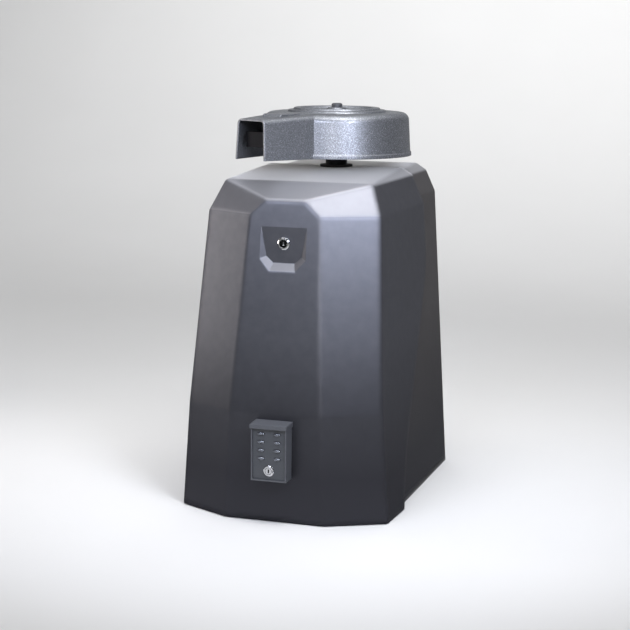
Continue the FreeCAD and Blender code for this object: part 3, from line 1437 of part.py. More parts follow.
def make_keypad(cover_form):
    inside = both_sides("keypad_half_width - keypad_wall")
    blank = block("keypad_blank", both_sides("keypad_half_width"), (KEYPAD_FACE, "-break_nose_reach"),
                  ("keypad_bottom", HOOD_FOOT))
    brow = f"{KEYPAD_FACE} - hood_overhang"
    hood = plate("keypad_hood", "YZ_Plane", [
        (brow, "keypad_top - hood_drop - hood_lip"), (KEYPAD_FACE, HOOD_FOOT),
        ("-break_nose_reach", HOOD_FOOT), ("-break_nose_reach", "keypad_top"),
        (KEYPAD_FACE + " + keypad_depth", "keypad_top"), (brow, "keypad_top - hood_drop")],
        "2 * hood_half_width", x="-hood_half_width")
    space = block("keypad_space", inside, (brow, f"{KEYPAD_FACE} + keypad_depth - 2 * keypad_wall"),
                  ("keypad_bottom + keypad_wall", HOOD_FOOT))
    node(cut("keypad_case", fuse("keypad_whole", blank, hood), space, cover_form), "keypad_body")
    holes = [key_prism("key_hole", side, level, "fit_clearance", PANEL_FRONT, PANEL_BACK)
             for side, level in key_places()]
    lock_hole = rod("keypad_lock_hole", "keypad_lock_barrel_radius", "2 * keypad_panel", "0",
                    f"{PANEL_BACK} + keypad_panel / 2", "keypad_lock_level", FORWARD)
    panel = block("panel_blank", inside, (PANEL_FRONT, PANEL_BACK),
                  ("keypad_bottom + keypad_wall", HOOD_FOOT))
    node(cut("panel", panel, *holes, lock_hole), "keypad_panel")
    make_keys()
    case = lock_body("keypad_lock_case", "keypad_lock_radius", "keypad_lock_proud",
                     "keypad_lock_barrel_radius", "keypad_lock_length", "keypad_plug_radius",
                     "keypad_plug_radius + keypad_well", PANEL_FRONT, "keypad_lock_level")
    notch = block("keypad_lock_gap", ("keypad_plug_radius", "2 * keypad_lock_radius"),
                  (f"{PANEL_FRONT} - 2 * keypad_lock_proud", PANEL_FRONT),
                  ("keypad_lock_level - keypad_lock_notch / 2",
                   "keypad_lock_level + keypad_lock_notch / 2"))
    node(cut("keypad_lock_ring", case, notch), "keypad_lock_body")
    node(lock_plug("keypad_plug", "keypad_plug_radius", "keypad_lock_proud", "keypad_lock_length",
                   PANEL_FRONT, "keypad_lock_level"), "keypad_lock_plug")


front_form, rear_space = make_covers()
make_base()
make_frame()
make_reducer()
make_gears()
make_pulleys()
node(place(shaped("belt", drive_belt()), "drive_plane"), "drive_belt")
make_motor()
make_control_box()
make_limits()
make_crank()
make_arm_cover()
make_cover_lock()
make_keypad(front_form)
make_brackets(rear_space)

doc.recompute()
for thing in doc.Objects:
    if "Invalid" in thing.State or "Error" in thing.State:
        raise RuntimeError(f"{thing.Name} ({thing.Label}) failed to build")
for thing in NODES:
    if thing.Shape.isNull() or not thing.Shape.isValid() or not thing.Shape.Solids:
        raise RuntimeError(f"{thing.Label} has no valid solid")

os.makedirs("parts", exist_ok=True)
for thing in NODES:
    thing.Shape.exportStep(f"parts/{thing.Label}.step")
print(len(NODES), "nodes,", sum(len(thing.Shape.Solids) for thing in NODES), "solids")
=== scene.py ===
# %% [markdown]
# Swing gate operator, dressed for a studio photograph. The solids come from
# the CAD frame: two faceted moulded covers, a round arm cover with a spout, a
# lock, a keypad box and the whole drive inside. This lesson gives them their
# finishes, adds the small repeated details that a CAD model leaves plain, and
# sets the light and the camera. The solids could be imported by hand and
# fitted.

# %% Load the CAD frame
import json
import math

import bmesh
import bpy
from mathutils import Matrix, Vector

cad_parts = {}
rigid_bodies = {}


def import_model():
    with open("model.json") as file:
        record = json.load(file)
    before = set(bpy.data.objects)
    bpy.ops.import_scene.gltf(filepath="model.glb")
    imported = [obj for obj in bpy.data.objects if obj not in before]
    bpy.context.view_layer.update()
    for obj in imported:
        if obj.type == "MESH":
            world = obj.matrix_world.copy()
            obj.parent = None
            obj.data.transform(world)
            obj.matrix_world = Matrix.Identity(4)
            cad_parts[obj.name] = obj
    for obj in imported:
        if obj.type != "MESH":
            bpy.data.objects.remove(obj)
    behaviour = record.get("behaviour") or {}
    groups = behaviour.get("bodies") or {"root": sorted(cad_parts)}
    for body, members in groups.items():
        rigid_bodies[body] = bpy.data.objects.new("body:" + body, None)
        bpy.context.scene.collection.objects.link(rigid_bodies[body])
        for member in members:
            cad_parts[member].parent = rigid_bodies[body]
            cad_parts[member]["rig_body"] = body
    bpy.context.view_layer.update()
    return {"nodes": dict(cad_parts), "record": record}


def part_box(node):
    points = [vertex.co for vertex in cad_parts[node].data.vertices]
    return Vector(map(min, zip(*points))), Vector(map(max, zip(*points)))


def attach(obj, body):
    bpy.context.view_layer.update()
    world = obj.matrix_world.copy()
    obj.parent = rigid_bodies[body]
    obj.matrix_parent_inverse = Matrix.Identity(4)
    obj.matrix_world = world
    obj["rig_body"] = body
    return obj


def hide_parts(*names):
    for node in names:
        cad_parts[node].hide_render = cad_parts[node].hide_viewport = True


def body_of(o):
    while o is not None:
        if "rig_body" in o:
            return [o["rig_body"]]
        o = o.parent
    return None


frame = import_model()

NODES = frame["nodes"]
MM = 0.001

# %% [markdown]
# Colours are written as the sRGB values that a paint chart would give. The
# renderer works in linear light. Each colour could be typed in as linear numbers,
# but those are hard to read, so one function converts the chart's value by the
# curve of the sRGB standard.

# %% Colour from a paint chart value
TOE_END, TOE_SLOPE = 0.04045, 12.92
CURVE_OFFSET, CURVE_POWER = 0.055, 2.4
FULL_CHANNEL = 255


def colour(code):
    """Linear RGBA of an sRGB hexadecimal colour such as "4a4c52"."""
    channels = [byte / FULL_CHANNEL for byte in bytes.fromhex(code)]
    linear = [c / TOE_SLOPE if c <= TOE_END else ((c + CURVE_OFFSET) / (1 + CURVE_OFFSET)) ** CURVE_POWER
              for c in channels]
    return (*linear, 1.0)


print("middle grey in linear light", [round(channel, 3) for channel in colour("808080")])

# %% [markdown]
# Materials and Geometry Nodes are both graphs of nodes. Nodes could be put
# together by hand in the editor. In a script, one helper adds any kind of node
# and gives each of its inputs a link or a value, so that every recipe below
# reads from top to bottom.


# %% One helper for every node
def feed(node, inputs):
    """Give each named or numbered input of a node a link or a value."""
    for key, source in inputs.items():
        if isinstance(source, bpy.types.NodeSocket):
            node.id_data.links.new(source, node.inputs[key])
        else:
            node.inputs[key].default_value = source


def add_node(tree, kind, inputs=None, **settings):
    """Add a node to a tree, with its settings and its inputs."""
    made = tree.nodes.new(kind)
    for key, value in settings.items():
        setattr(made, key, value)
    feed(made, inputs or {})
    return made


print("helpers", feed.__name__, add_node.__name__)

# %% [markdown]
# A finish is a procedural material: noise drives its colour, its gloss and its
# relief. Pictures could do that too, but noise has no seams and needs no
# unwrapping. Patterns use Object coordinates, which are metres here: a feature
# of 2 mm has a noise scale of one over 0.002. Nearly all noise lies between 0.3
# and 0.7, so that range is stretched to a share from 0 to 1. A Bevel node bends
# the normals at an edge, because no real edge is perfectly sharp.

# %% What every finish shares
NOISE_LOW, NOISE_HIGH = 0.3, 0.7
# The sockets of a Mix node share their names, so those for colour are picked by number.
MIX_SHARE, MIX_FROM, MIX_TO, MIX_RESULT = 0, 6, 7, 2
EDGE_SAMPLES = 6
BUMP_STRENGTH = 0.5


def bare_material(name):
    """A new material, its node tree and the place on the piece in metres."""
    material = bpy.data.materials.new(name)
    material.use_nodes = True
    tree = material.node_tree
    place = add_node(tree, "ShaderNodeTexCoord").outputs["Object"]
    return material, tree, place


def unevenness(tree, place, size_mm, detail=2):
    """A random field with features of about this size, and its share from 0 to 1."""
    field = add_node(tree, "ShaderNodeTexNoise", {
        "Vector": place, "Scale": 1 / (size_mm * MM), "Detail": detail}).outputs["Fac"]
    share = add_node(tree, "ShaderNodeMapRange", {
        "Value": field, "From Min": NOISE_LOW, "From Max": NOISE_HIGH}).outputs["Result"]
    return field, share


def relief(tree, field, height_mm, edge, strength=BUMP_STRENGTH):
    """The normal of a surface raised by a field, with edges blunted over a reach in metres."""
    blunt = add_node(tree, "ShaderNodeBevel", {"Radius": edge}, samples=EDGE_SAMPLES)
    bump = add_node(tree, "ShaderNodeBump", {
        "Height": field, "Normal": blunt.outputs["Normal"],
        "Distance": height_mm * MM, "Strength": strength})
    return bump.outputs["Normal"]


print("noise is stretched from", NOISE_LOW, "to", NOISE_HIGH)

# %% [markdown]
# The covers are moulded in charcoal plastic with a pearl pigment and a fine
# grain. To the eye that is a dark satin metal: the facets show as broad soft
# gradients, so the shader is mostly metallic. Paint under a clear coat would be
# another way, but it shows sharp mirror images that the covers lack. Specular
# Tint holds the mirror back at flat angles, or the walls would show the pale
# floor. Faces that look up are painted paler, with more sheen, by the height of
# their normal: painted light from above. The colour is painted darker towards
# the ground: painted shade. Both follow the photograph. The long edges are
# blunt, wide on the body and narrow round the lock's crisp recess.

# %% Charcoal moulded plastic
PEARL_METALLIC, EDGE_TINT = 0.85, "a0a0a0"
# The grain of a mould is a few tenths of a millimetre. It is drawn coarser, so that it shows.
MOTTLE_MM, MOULD_GRAIN_MM, GRAIN_HEIGHT_MM = 18, 0.9, 0.004
SATIN_LOW, SATIN_HIGH = 0.36, 0.43
RECESS_MIDDLE = sum(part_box("cover_lock_body"), Vector()) / 2
CRISP_REACH, SOFT_REACH = 48 * MM, 85 * MM
CRISP_EDGE, SOFT_EDGE = 1.5 * MM, 16 * MM
# Faces that look up are mixed towards a paler tone and take more sheen: painted light from above.
TOP_LIGHT_TONE, TOP_LIGHT_START, TOP_LIGHT_FULL = "9c9da4", 0.4, 0.9
TOP_SHEEN, SHEEN_ROUGHNESS = 0.9, 0.3
# Low down the colour is mixed towards a darker tone: painted shade towards the ground.
FOOT_SHADE_TONE, FOOT_LOW, FOOT_HIGH = "3a3a3f", 80 * MM, 320 * MM


def charcoal_plastic(name, dark, light):
    """Pearl charcoal, with painted light where it looks up and painted shade towards the ground."""
    material, tree, place = bare_material(name)
    _, mottle = unevenness(tree, place, MOTTLE_MM, detail=3)
    fine, fine_share = unevenness(tree, place, MOULD_GRAIN_MM)
    gloss = add_node(tree, "ShaderNodeMapRange", {
        "Value": fine_share, "To Min": SATIN_LOW, "To Max": SATIN_HIGH})
    away = add_node(tree, "ShaderNodeVectorMath", {0: place, 1: RECESS_MIDDLE}, operation="DISTANCE")
    reach = add_node(tree, "ShaderNodeMapRange", {
        "Value": away.outputs["Value"], "From Min": CRISP_REACH, "From Max": SOFT_REACH,
        "To Min": CRISP_EDGE, "To Max": SOFT_EDGE})
    normal = add_node(tree, "ShaderNodeNewGeometry").outputs["Normal"]
    upright = add_node(tree, "ShaderNodeSeparateXYZ", {"Vector": normal}).outputs["Z"]
    upward = add_node(tree, "ShaderNodeMapRange", {
        "Value": upright, "From Min": TOP_LIGHT_START, "From Max": TOP_LIGHT_FULL}).outputs["Result"]
    height = add_node(tree, "ShaderNodeSeparateXYZ", {"Vector": place}).outputs["Z"]
    foot = add_node(tree, "ShaderNodeMapRange", {
        "Value": height, "From Min": FOOT_LOW, "From Max": FOOT_HIGH, "To Min": 1, "To Max": 0})
    mottled = add_node(tree, "ShaderNodeMix", {
        MIX_SHARE: mottle, MIX_FROM: colour(dark), MIX_TO: colour(light)}, data_type="RGBA")
    # Painted shade: darker towards the ground.
    foot_shaded = add_node(tree, "ShaderNodeMix", {
        MIX_SHARE: foot.outputs["Result"], MIX_FROM: mottled.outputs[MIX_RESULT],
        MIX_TO: colour(FOOT_SHADE_TONE)}, data_type="RGBA")
    # Painted light: paler where the face looks up.
    top_lit = add_node(tree, "ShaderNodeMix", {
        MIX_SHARE: upward, MIX_FROM: foot_shaded.outputs[MIX_RESULT],
        MIX_TO: colour(TOP_LIGHT_TONE)}, data_type="RGBA")
    # Painted sheen, only on the faces that look up.
    sheen = add_node(tree, "ShaderNodeMapRange", {"Value": upward, "To Max": TOP_SHEEN})
    feed(tree.nodes["Principled BSDF"], {
        "Base Color": top_lit.outputs[MIX_RESULT], "Roughness": gloss.outputs["Result"],
        "Metallic": PEARL_METALLIC, "Specular Tint": colour(EDGE_TINT),
        "Sheen Weight": sheen.outputs["Result"], "Sheen Roughness": SHEEN_ROUGHNESS,
        "Normal": relief(tree, fine, GRAIN_HEIGHT_MM, reach.outputs["Result"])})
    return material


FRONT_CHARCOAL = charcoal_plastic("charcoal_moulded_plastic", "5a5b61", "5f6066")
print("recess middle", list(RECESS_MIDDLE), "nodes", len(FRONT_CHARCOAL.node_tree.nodes))

# %% [markdown]
# The arm cover has a speckled finish: fine light flecks in a grey base that catch
# the light as a sparkling vertical band on the round wall. The flecks could be
# scattered as tiny flakes. One noise is simpler, and gives them their colour,
# their gloss and their height at once, because a fleck is one grain of pigment:
# the lighter it is, the smoother it shines.

# %% Speckled arm cover plastic
# Flecks of pigment are mostly finer than a millimetre. They are drawn at one, so that they show.
FLECK_MM, FLECK_HEIGHT_MM, FLECK_STRENGTH = 1.0, 0.08, 0.8
FLECK_TONES = ("64666b", "727479", "808389", "d0d2d8")
FLECK_DULL, FLECK_SHINY = 0.50, 0.36
ARM_EDGE = 2.5 * MM


def speckled_plastic(name):
    """Grey plastic with light flecks of pigment."""
    material, tree, place = bare_material(name)
    flecks, share = unevenness(tree, place, FLECK_MM)
    ramp = add_node(tree, "ShaderNodeValToRGB", {"Fac": share})
    stops = ramp.color_ramp.elements
    last = len(FLECK_TONES) - 1
    for index in range(1, last):
        stops.new(index / last)
    for stop, code in zip(stops, FLECK_TONES):
        stop.color = colour(code)
    gloss = add_node(tree, "ShaderNodeMapRange", {
        "Value": share, "To Min": FLECK_DULL, "To Max": FLECK_SHINY})
    feed(tree.nodes["Principled BSDF"], {
        "Base Color": ramp.outputs["Color"], "Roughness": gloss.outputs["Result"],
        "Metallic": PEARL_METALLIC, "Specular Tint": colour(EDGE_TINT),
        "Normal": relief(tree, flecks, FLECK_HEIGHT_MM, ARM_EDGE, FLECK_STRENGTH)})
    print(name, "tones at", [round(stop.position, 2) for stop in stops])
    return material


ARM_SPECKLE = speckled_plastic("speckled_grey_plastic")

# %% [markdown]
# The other finishes are plainer: satin paint on the keypad casting, bright
# plated locks, black powder coat on the steelwork, cast iron, bronze, rubber
# and the plastics of the control box. Each could be one flat colour. Each keeps
# a little unevenness and a blunt edge instead, because a perfectly even surface
# looks like no material at all. Their fields of 0.8 to 4 mm are coarser than
# the real skins, so that they show.


# %% Plain finishes from one recipe
def plain_finish(name, dark, light, rough, metallic=0.0, size_mm=2.0, bump_mm=0.02, edge_mm=0.6):
    """A finish whose colour, gloss and relief follow one random field."""
    material, tree, place = bare_material(name)
    field, share = unevenness(tree, place, size_mm, detail=3)
    tone = add_node(tree, "ShaderNodeMix", {
        MIX_SHARE: share, MIX_FROM: colour(dark), MIX_TO: colour(light)}, data_type="RGBA")
    smooth, dull = rough
    gloss = add_node(tree, "ShaderNodeMapRange", {"Value": share, "To Min": smooth, "To Max": dull})
    feed(tree.nodes["Principled BSDF"], {
        "Base Color": tone.outputs[MIX_RESULT], "Roughness": gloss.outputs["Result"],
        "Metallic": metallic, "Normal": relief(tree, field, bump_mm, edge_mm * MM)})
    return material


FINISHES = {
    "cover_plastic": FRONT_CHARCOAL,
    "arm_plastic": ARM_SPECKLE,
    # Paint on a casting gives an even, soft highlight.
    "keypad_metal": plain_finish("satin_grey_paint", "4c4e53", "53555a", (0.34, 0.44), size_mm=1.5),
    # Moulded plastic gives a matt face behind the keys.
    "panel_plastic": plain_finish("dark_grey_plastic", "404347", "47494e", (0.40, 0.50)),
    # Satin metal gives each key a small bright dot.
    "key_metal": plain_finish("dark_satin_keys", "6f7279", "797c84", (0.20, 0.28), metallic=0.7,
                              size_mm=1.0, bump_mm=0.0),
    # Chrome plate gives a hard mirror with no colour of its own.
    "lock_chrome": plain_finish("bright_chrome_plate", "c4c5c8", "cccdd0", (0.08, 0.14), metallic=1.0,
                                size_mm=4.0, bump_mm=0.0, edge_mm=0.3),
    # Rubber gives black with hardly any highlight.
    "black_rubber": plain_finish("matt_black_rubber", "121213", "191919", (0.6, 0.75), size_mm=3.0),
    # Zinc plate gives a bright, slightly cloudy grey.
    "zinc_steel": plain_finish("zinc_plated_steel", "9da0a3", "adb0b2", (0.28, 0.4), metallic=1.0,
                               size_mm=3.0),
    # Powder coat gives black with a fine orange peel.
    "black_steel": plain_finish("black_powder_coat", "1b1b1d", "232326", (0.42, 0.55), size_mm=0.8),
    # Grinding gives steel a clean, narrow highlight.
    "bright_steel": plain_finish("ground_steel", "b0b0b0", "bdbdbd", (0.2, 0.32), metallic=1.0),
    # Paint on a sand casting gives a coarse skin that breaks the light up.
    "grey_iron": plain_finish("painted_cast_iron", "585a5c", "66686a", (0.45, 0.6), size_mm=2.5,
                              bump_mm=0.12, edge_mm=1.5),
    # Cut bronze gives a warm yellow shine.
    "gear_bronze": plain_finish("machined_bronze", "a67c42", "b98d50", (0.25, 0.38), metallic=1.0),
    # Enamel gives a smooth dark blue skin.
    "motor_paint": plain_finish("motor_enamel", "25303c", "2d3845", (0.35, 0.45), edge_mm=1.5),
    # Varnish on stacked sheet steel gives a brown, half metallic look.
    "core_steel": plain_finish("varnished_core", "4c4541", "5a534e", (0.4, 0.55), metallic=0.6),
    # Paint on folded sheet gives a pale, even face.
    "case_steel": plain_finish("light_grey_paint", "b2b2ae", "bcbcb8", (0.4, 0.5), edge_mm=1.0),
    # Solder mask gives a thin green gloss.
    "board_green": plain_finish("green_solder_mask", "14502a", "1a5c32", (0.3, 0.4)),
    # Moulded plastic gives a half gloss, in black and in a plain red.
    "black_plastic": plain_finish("black_moulded_plastic", "161618", "1d1d20", (0.32, 0.45)),
    "red_plastic": plain_finish("red_moulded_plastic", "a3231c", "b02b22", (0.3, 0.4)),
}
for entry in frame["record"]["subparts"]:
    slots = NODES[entry["node"]].data.materials
    slots.clear()
    slots.append(FINISHES[entry["material_slot"]])
print("finishes", len(FINISHES))

# %% [markdown]
# Some pieces share a slot in the record but differ in looks. The rear shell
# takes a copy of the same plastic, a shade browner and paler: painted light on
# its side. The steel that shows between the covers and the arm cover is a dull
# black that still has a metal's edge: painted shade, where the arm cover shades
# it. The nut on top is a dark grey. They could have slots of their own, but a
# finish set on the node is enough for the looks.

# %% Nodes with a finish of their own
# Dull black on the steel in the shadow under the arm cover: painted shade.
SHADE_BLACK_STEEL = plain_finish("shade_black_steel", "1a1a1d", "222225", (0.5, 0.6), metallic=0.95, size_mm=1.5)
NUT_GREY = plain_finish("dark_grey_nut", "424347", "4b4c50", (0.4, 0.5), metallic=0.4, size_mm=1.5)
OWN_FINISHES = {
    # A paler, browner copy of the plastic: painted light on the rear shell.
    "rear_cover": charcoal_plastic("rear_lit_charcoal_plastic", "5e5c5e", "636163"),
    "output_shaft": SHADE_BLACK_STEEL,
    "clamp_bolts": SHADE_BLACK_STEEL,
    "crank_bar": SHADE_BLACK_STEEL,
    "arm_cover_nut": NUT_GREY,
}
for name, material in OWN_FINISHES.items():
    NODES[name].data.materials[0] = material
print("own finishes", sorted(OWN_FINISHES))

# %% [markdown]
# A lock reads as a lock because of its dark parts. On the keypad they are the
# well round the plug and the key slot, painted black as painted shade. The
# cover's lock has a black plug in a well painted black as painted shade, and
# only its slot is bright. Dark discs could be laid on top, but they would float.
# So each lock piece is copied, its loose triangles are merged, and some faces
# take a second, black finish. The copy then stands for the solid and rides on
# the same body.

# %% A copy with a second finish
MERGE_REACH = 0.001 * MM


def merged_copy(node):
    """A copy of a solid's mesh with its triangles joined and its shading kept."""
    mesh = NODES[node].data.copy()
    shading = [tuple(corner.vector) for corner in mesh.corner_normals]
    shape = bmesh.new()
    shape.from_mesh(mesh)
    bmesh.ops.remove_doubles(shape, verts=shape.verts, dist=MERGE_REACH)
    shape.to_mesh(mesh)
    shape.free()
    mesh.normals_split_custom_set(shading)
    return mesh


def two_tone(node, second, chosen):
    """Stand a copy in for a node, with a second finish on the chosen faces."""
    mesh = merged_copy(node)
    mesh.materials.append(second)
    picked = [face for face in mesh.polygons if chosen(face.center)]
    for face in picked:
        face.material_index = 1
    piece = bpy.data.objects.new(f"{node}_two_tone", mesh)
    bpy.context.scene.collection.objects.link(piece)
    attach(piece, body_of(NODES[node])[0])
    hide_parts(node)
    print(node, "dark faces", len(picked), "of", len(mesh.polygons))


print("corners closer than", MERGE_REACH, "m are merged")

# %% Locks with dark wells and key slots
SLOT_HALF_WIDTH, SLOT_HALF_LENGTH = 1.25 * MM, 3.25 * MM
COVER_WELL_RADIUS, KEYPAD_WELL_RADIUS = 7 * MM, 6.2 * MM
FACE_SKIN = 0.1 * MM
# Black for the cover's plug, and painted shade in the wells and the keypad's slot: hardly any light
# comes back.
LOCK_BLACK_AND_SHADE = plain_finish("lock_black_and_painted_shade", "08080a", "0c0c0e", (0.5, 0.6), metallic=0.9)


def dark_lock(case, plug, well_radius, slot_is_dark):
    """Paint one lock's well black as shade, and either the key slot or the face round it."""
    low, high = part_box(plug)
    middle = (low + high) / 2

    def in_well(point):
        across = math.hypot(point.x - middle.x, point.z - middle.z)
        return across < well_radius + FACE_SKIN and point.y > low.y + FACE_SKIN

    def in_slot(point):
        beside = abs(point.x - middle.x) < SLOT_HALF_WIDTH
        along = abs(point.z - middle.z) < SLOT_HALF_LENGTH
        return beside and along and point.y > low.y + FACE_SKIN

    two_tone(case, LOCK_BLACK_AND_SHADE, in_well)
    two_tone(plug, LOCK_BLACK_AND_SHADE, lambda point: in_slot(point) == slot_is_dark)


dark_lock("cover_lock_body", "cover_lock_plug", COVER_WELL_RADIUS, slot_is_dark=False)
dark_lock("keypad_lock_body", "keypad_lock_plug", KEYPAD_WELL_RADIUS, slot_is_dark=True)

# %% [markdown]
# Screws repeat. They could be copied to their places one by one, but Geometry
# Nodes sets them all: one tree stands a hexagon head with its washer on every
# point of a mesh, faces it outwards and gives each a turn of its own, since no
# two screws stop at the same angle.

# %% A tree that sets screws on points
WASHER_SHARE, WASHER_RISE = 1.3, 0.3
WASHER_SIDES, HEAD_SIDES = 32, 6
SCREW_SEED = 7
# The outputs of a random node share a name too, and its plain number is the second.
RANDOM_NUMBER = 1
TREE_INPUTS = {"Points": "NodeSocketGeometry", "Head Radius": "NodeSocketFloat",
               "Head Height": "NodeSocketFloat", "Facing": "NodeSocketVector",
               "Material": "NodeSocketMaterial"}


def screw_tree():
    """A tree that stands a screw head and its washer on every point."""
    tree = bpy.data.node_groups.new("screws_on_points", "GeometryNodeTree")
    for label, kind in TREE_INPUTS.items():
        tree.interface.new_socket(label, in_out="INPUT", socket_type=kind)
    tree.interface.new_socket("Screws", in_out="OUTPUT", socket_type="NodeSocketGeometry")
    given = add_node(tree, "NodeGroupInput").outputs
    radius, height = given["Head Radius"], given["Head Height"]
    wide = add_node(tree, "ShaderNodeMath", {0: radius, 1: WASHER_SHARE}, operation="MULTIPLY")
    thin = add_node(tree, "ShaderNodeMath", {0: height, 1: WASHER_RISE}, operation="MULTIPLY")
    half = add_node(tree, "ShaderNodeMath", {0: height, 1: 2}, operation="DIVIDE")
    washer = add_node(tree, "GeometryNodeMeshCylinder", {
        "Radius": wide.outputs[0], "Depth": thin.outputs[0], "Vertices": WASHER_SIDES})
    head = add_node(tree, "GeometryNodeMeshCylinder", {
        "Radius": radius, "Depth": height, "Vertices": HEAD_SIDES})
    lift = add_node(tree, "ShaderNodeCombineXYZ", {"Z": half.outputs[0]})
    raised = add_node(tree, "GeometryNodeTransform", {
        "Geometry": head.outputs["Mesh"], "Translation": lift.outputs[0]})
    screw = add_node(tree, "GeometryNodeJoinGeometry", {"Geometry": raised.outputs["Geometry"]})
    feed(screw, {"Geometry": washer.outputs["Mesh"]})
    chance = add_node(tree, "FunctionNodeRandomValue", {"Seed": SCREW_SEED}, data_type="FLOAT")
    turn = add_node(tree, "ShaderNodeMath", {0: chance.outputs[RANDOM_NUMBER], 1: math.tau},
                    operation="MULTIPLY")
    spin = add_node(tree, "ShaderNodeCombineXYZ", {"Z": turn.outputs[0]})
    outwards = add_node(tree, "FunctionNodeAlignRotationToVector", {"Vector": given["Facing"]}, axis="Z")
    facing = add_node(tree, "FunctionNodeRotateRotation", {
        "Rotation": outwards.outputs[0], "Rotate By": spin.outputs[0]}, rotation_space="LOCAL")
    set_out = add_node(tree, "GeometryNodeInstanceOnPoints", {
        "Points": given["Points"], "Instance": screw.outputs[0], "Rotation": facing.outputs[0]})
    real = add_node(tree, "GeometryNodeRealizeInstances", {"Geometry": set_out.outputs[0]})
    dressed = add_node(tree, "GeometryNodeSetMaterial", {
        "Geometry": real.outputs[0], "Material": given["Material"]})
    add_node(tree, "NodeGroupOutput", {"Screws": dressed.outputs[0]})
    return tree


SCREWS = screw_tree()
print("screw tree nodes", len(SCREWS.nodes))

# %% [markdown]
# The tree runs as a modifier on a mesh of bare points. The points could be
# typed in, but rays cast on the CAD solid find them, so that each washer lies on
# the real surface. The result is stored as a plain mesh, which rides on the body
# that carries the screwed piece. First comes the lid of the control box, with a
# screw at each corner.

# %% Screws of the control box
BOX_INSET = 9 * MM
BOX_HEAD_MM = (3.5, 2.5)


def screws(name, node, spots, facing, head_mm):
    """Screws on a node's surface, where rays against the facing direction meet it."""
    facing = Vector(facing)
    seats = [NODES[node].ray_cast(Vector(spot) + facing, -facing)[1] for spot in spots]
    points = bpy.data.meshes.new("points")
    points.from_pydata(seats, [], [])
    holder = bpy.data.objects.new("points", points)
    bpy.context.scene.collection.objects.link(holder)
    modifier = holder.modifiers.new("screws", "NODES")
    modifier.node_group = SCREWS
    radius_mm, height_mm = head_mm
    values = {"Head Radius": radius_mm * MM, "Head Height": height_mm * MM, "Facing": facing,
              "Material": FINISHES["zinc_steel"]}
    for socket in SCREWS.interface.items_tree:
        if socket.name in values:
            modifier[socket.identifier] = values[socket.name]
    graph = bpy.context.evaluated_depsgraph_get()
    mesh = bpy.data.meshes.new_from_object(holder.evaluated_get(graph))
    bpy.data.objects.remove(holder)
    piece = bpy.data.objects.new(name, mesh)
    bpy.context.scene.collection.objects.link(piece)
    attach(piece, body_of(NODES[node])[0])
    print(piece.name, len(seats), "screws", len(mesh.polygons), "faces")


low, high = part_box("control_box_lid")
corners = [(x, 0, z) for x in (low.x + BOX_INSET, high.x - BOX_INSET)
           for z in (low.z + BOX_INSET, high.z - BOX_INSET)]
screws("control_lid_screws", "control_box_lid", corners, (0, -1, 0), BOX_HEAD_MM)

# %% [markdown]
# Two more pieces of the drive are screwed: the lid of the gear case round its
# rim, and the two caps over the worm shaft's bearings with a ring of four screws
# each. Their places follow from the boxes of the solids.

# %% Screws of the gear case and the bearing caps
CASE_INSET, CASE_STEP, CASE_HEAD_MM = 12 * MM, 60 * MM, (6, 5)
CAP_SCREWS, CAP_RING_RADIUS, CAP_HEAD_MM = 4, 26 * MM, (4, 3)

low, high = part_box("reducer_lid")
side, middle = high.x - CASE_INSET, (low.y + high.y) / 2
rim = [(sign * side, middle + step, 0) for sign in (-1, 1) for step in (-CASE_STEP, 0, CASE_STEP)]
rim += [(sign * side / 2, y, 0) for sign in (-1, 1) for y in (low.y + CASE_INSET, high.y - CASE_INSET)]
screws("gear_case_screws", "reducer_lid", rim, (0, 0, 1), CASE_HEAD_MM)

low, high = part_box("worm_end_caps")
centre = (low + high) / 2
turns = [math.tau * (screw + 0.5) / CAP_SCREWS for screw in range(CAP_SCREWS)]
ring = [(0, centre.y + CAP_RING_RADIUS * math.cos(turn), centre.z + CAP_RING_RADIUS * math.sin(turn))
        for turn in turns]
for label, way in (("left", -1), ("right", 1)):
    screws(f"{label}_cap_screws", "worm_end_caps", ring, (way, 0, 0), CAP_HEAD_MM)

# %% [markdown]
# The photograph was taken from the operator's right front, a little above it,
# with a long lens. A camera could be aimed at the middle and nudged by eye. This
# one's place and tilt were found by fitting the corners of the facets, so the
# render lies over the photograph.

# %% Camera
AZIMUTH, PITCH, ROLL = (math.radians(angle) for angle in (17.75, 9.87, 0.51))
CAMERA_PLACE = Vector((0.903, -2.943, 0.842))
LENS_MM, SENSOR_MM = 94.4, 36

right = Vector((math.cos(AZIMUTH), math.sin(AZIMUTH), 0))
ahead = Vector((-math.sin(AZIMUTH) * math.cos(PITCH), math.cos(AZIMUTH) * math.cos(PITCH),
                -math.sin(PITCH)))
above = right.cross(ahead)
tilted_right = right * math.cos(ROLL) + above * math.sin(ROLL)
tilted_up = above * math.cos(ROLL) - right * math.sin(ROLL)
lens = bpy.data.cameras.new("camera")
lens.sensor_width = SENSOR_MM
lens.lens = LENS_MM
camera = bpy.data.objects.new("camera", lens)
bpy.context.scene.collection.objects.link(camera)
turned = Matrix((tilted_right, tilted_up, -ahead)).transposed().to_4x4()
camera.matrix_world = Matrix.Translation(CAMERA_PLACE) @ turned
bpy.context.scene.camera = camera
print("camera", round(CAMERA_PLACE.length, 2), "m from the foot of the shaft")

# %% [markdown]
# The studio is a pale sheet that runs back along the floor and sweeps up behind
# the operator. A floor and a wall would meet in a line behind it, and the bend
# leaves no horizon. The sheet belongs to the picture, not to the product.

# %% Backdrop sheet
SHEET_HALF, SHEET_FRONT, SHEET_BACK, SHEET_TOP = 7.0, -6.0, 5.0, 5.0
BEND_RADIUS, BEND_STEPS = 3.0, 24
# Paper gives a matt, even ground. Its tone drifts a little from place to place.
PAPER = plain_finish("studio_paper", "e0e0e0", "e2e2e2", (0.8, 0.9), size_mm=400)

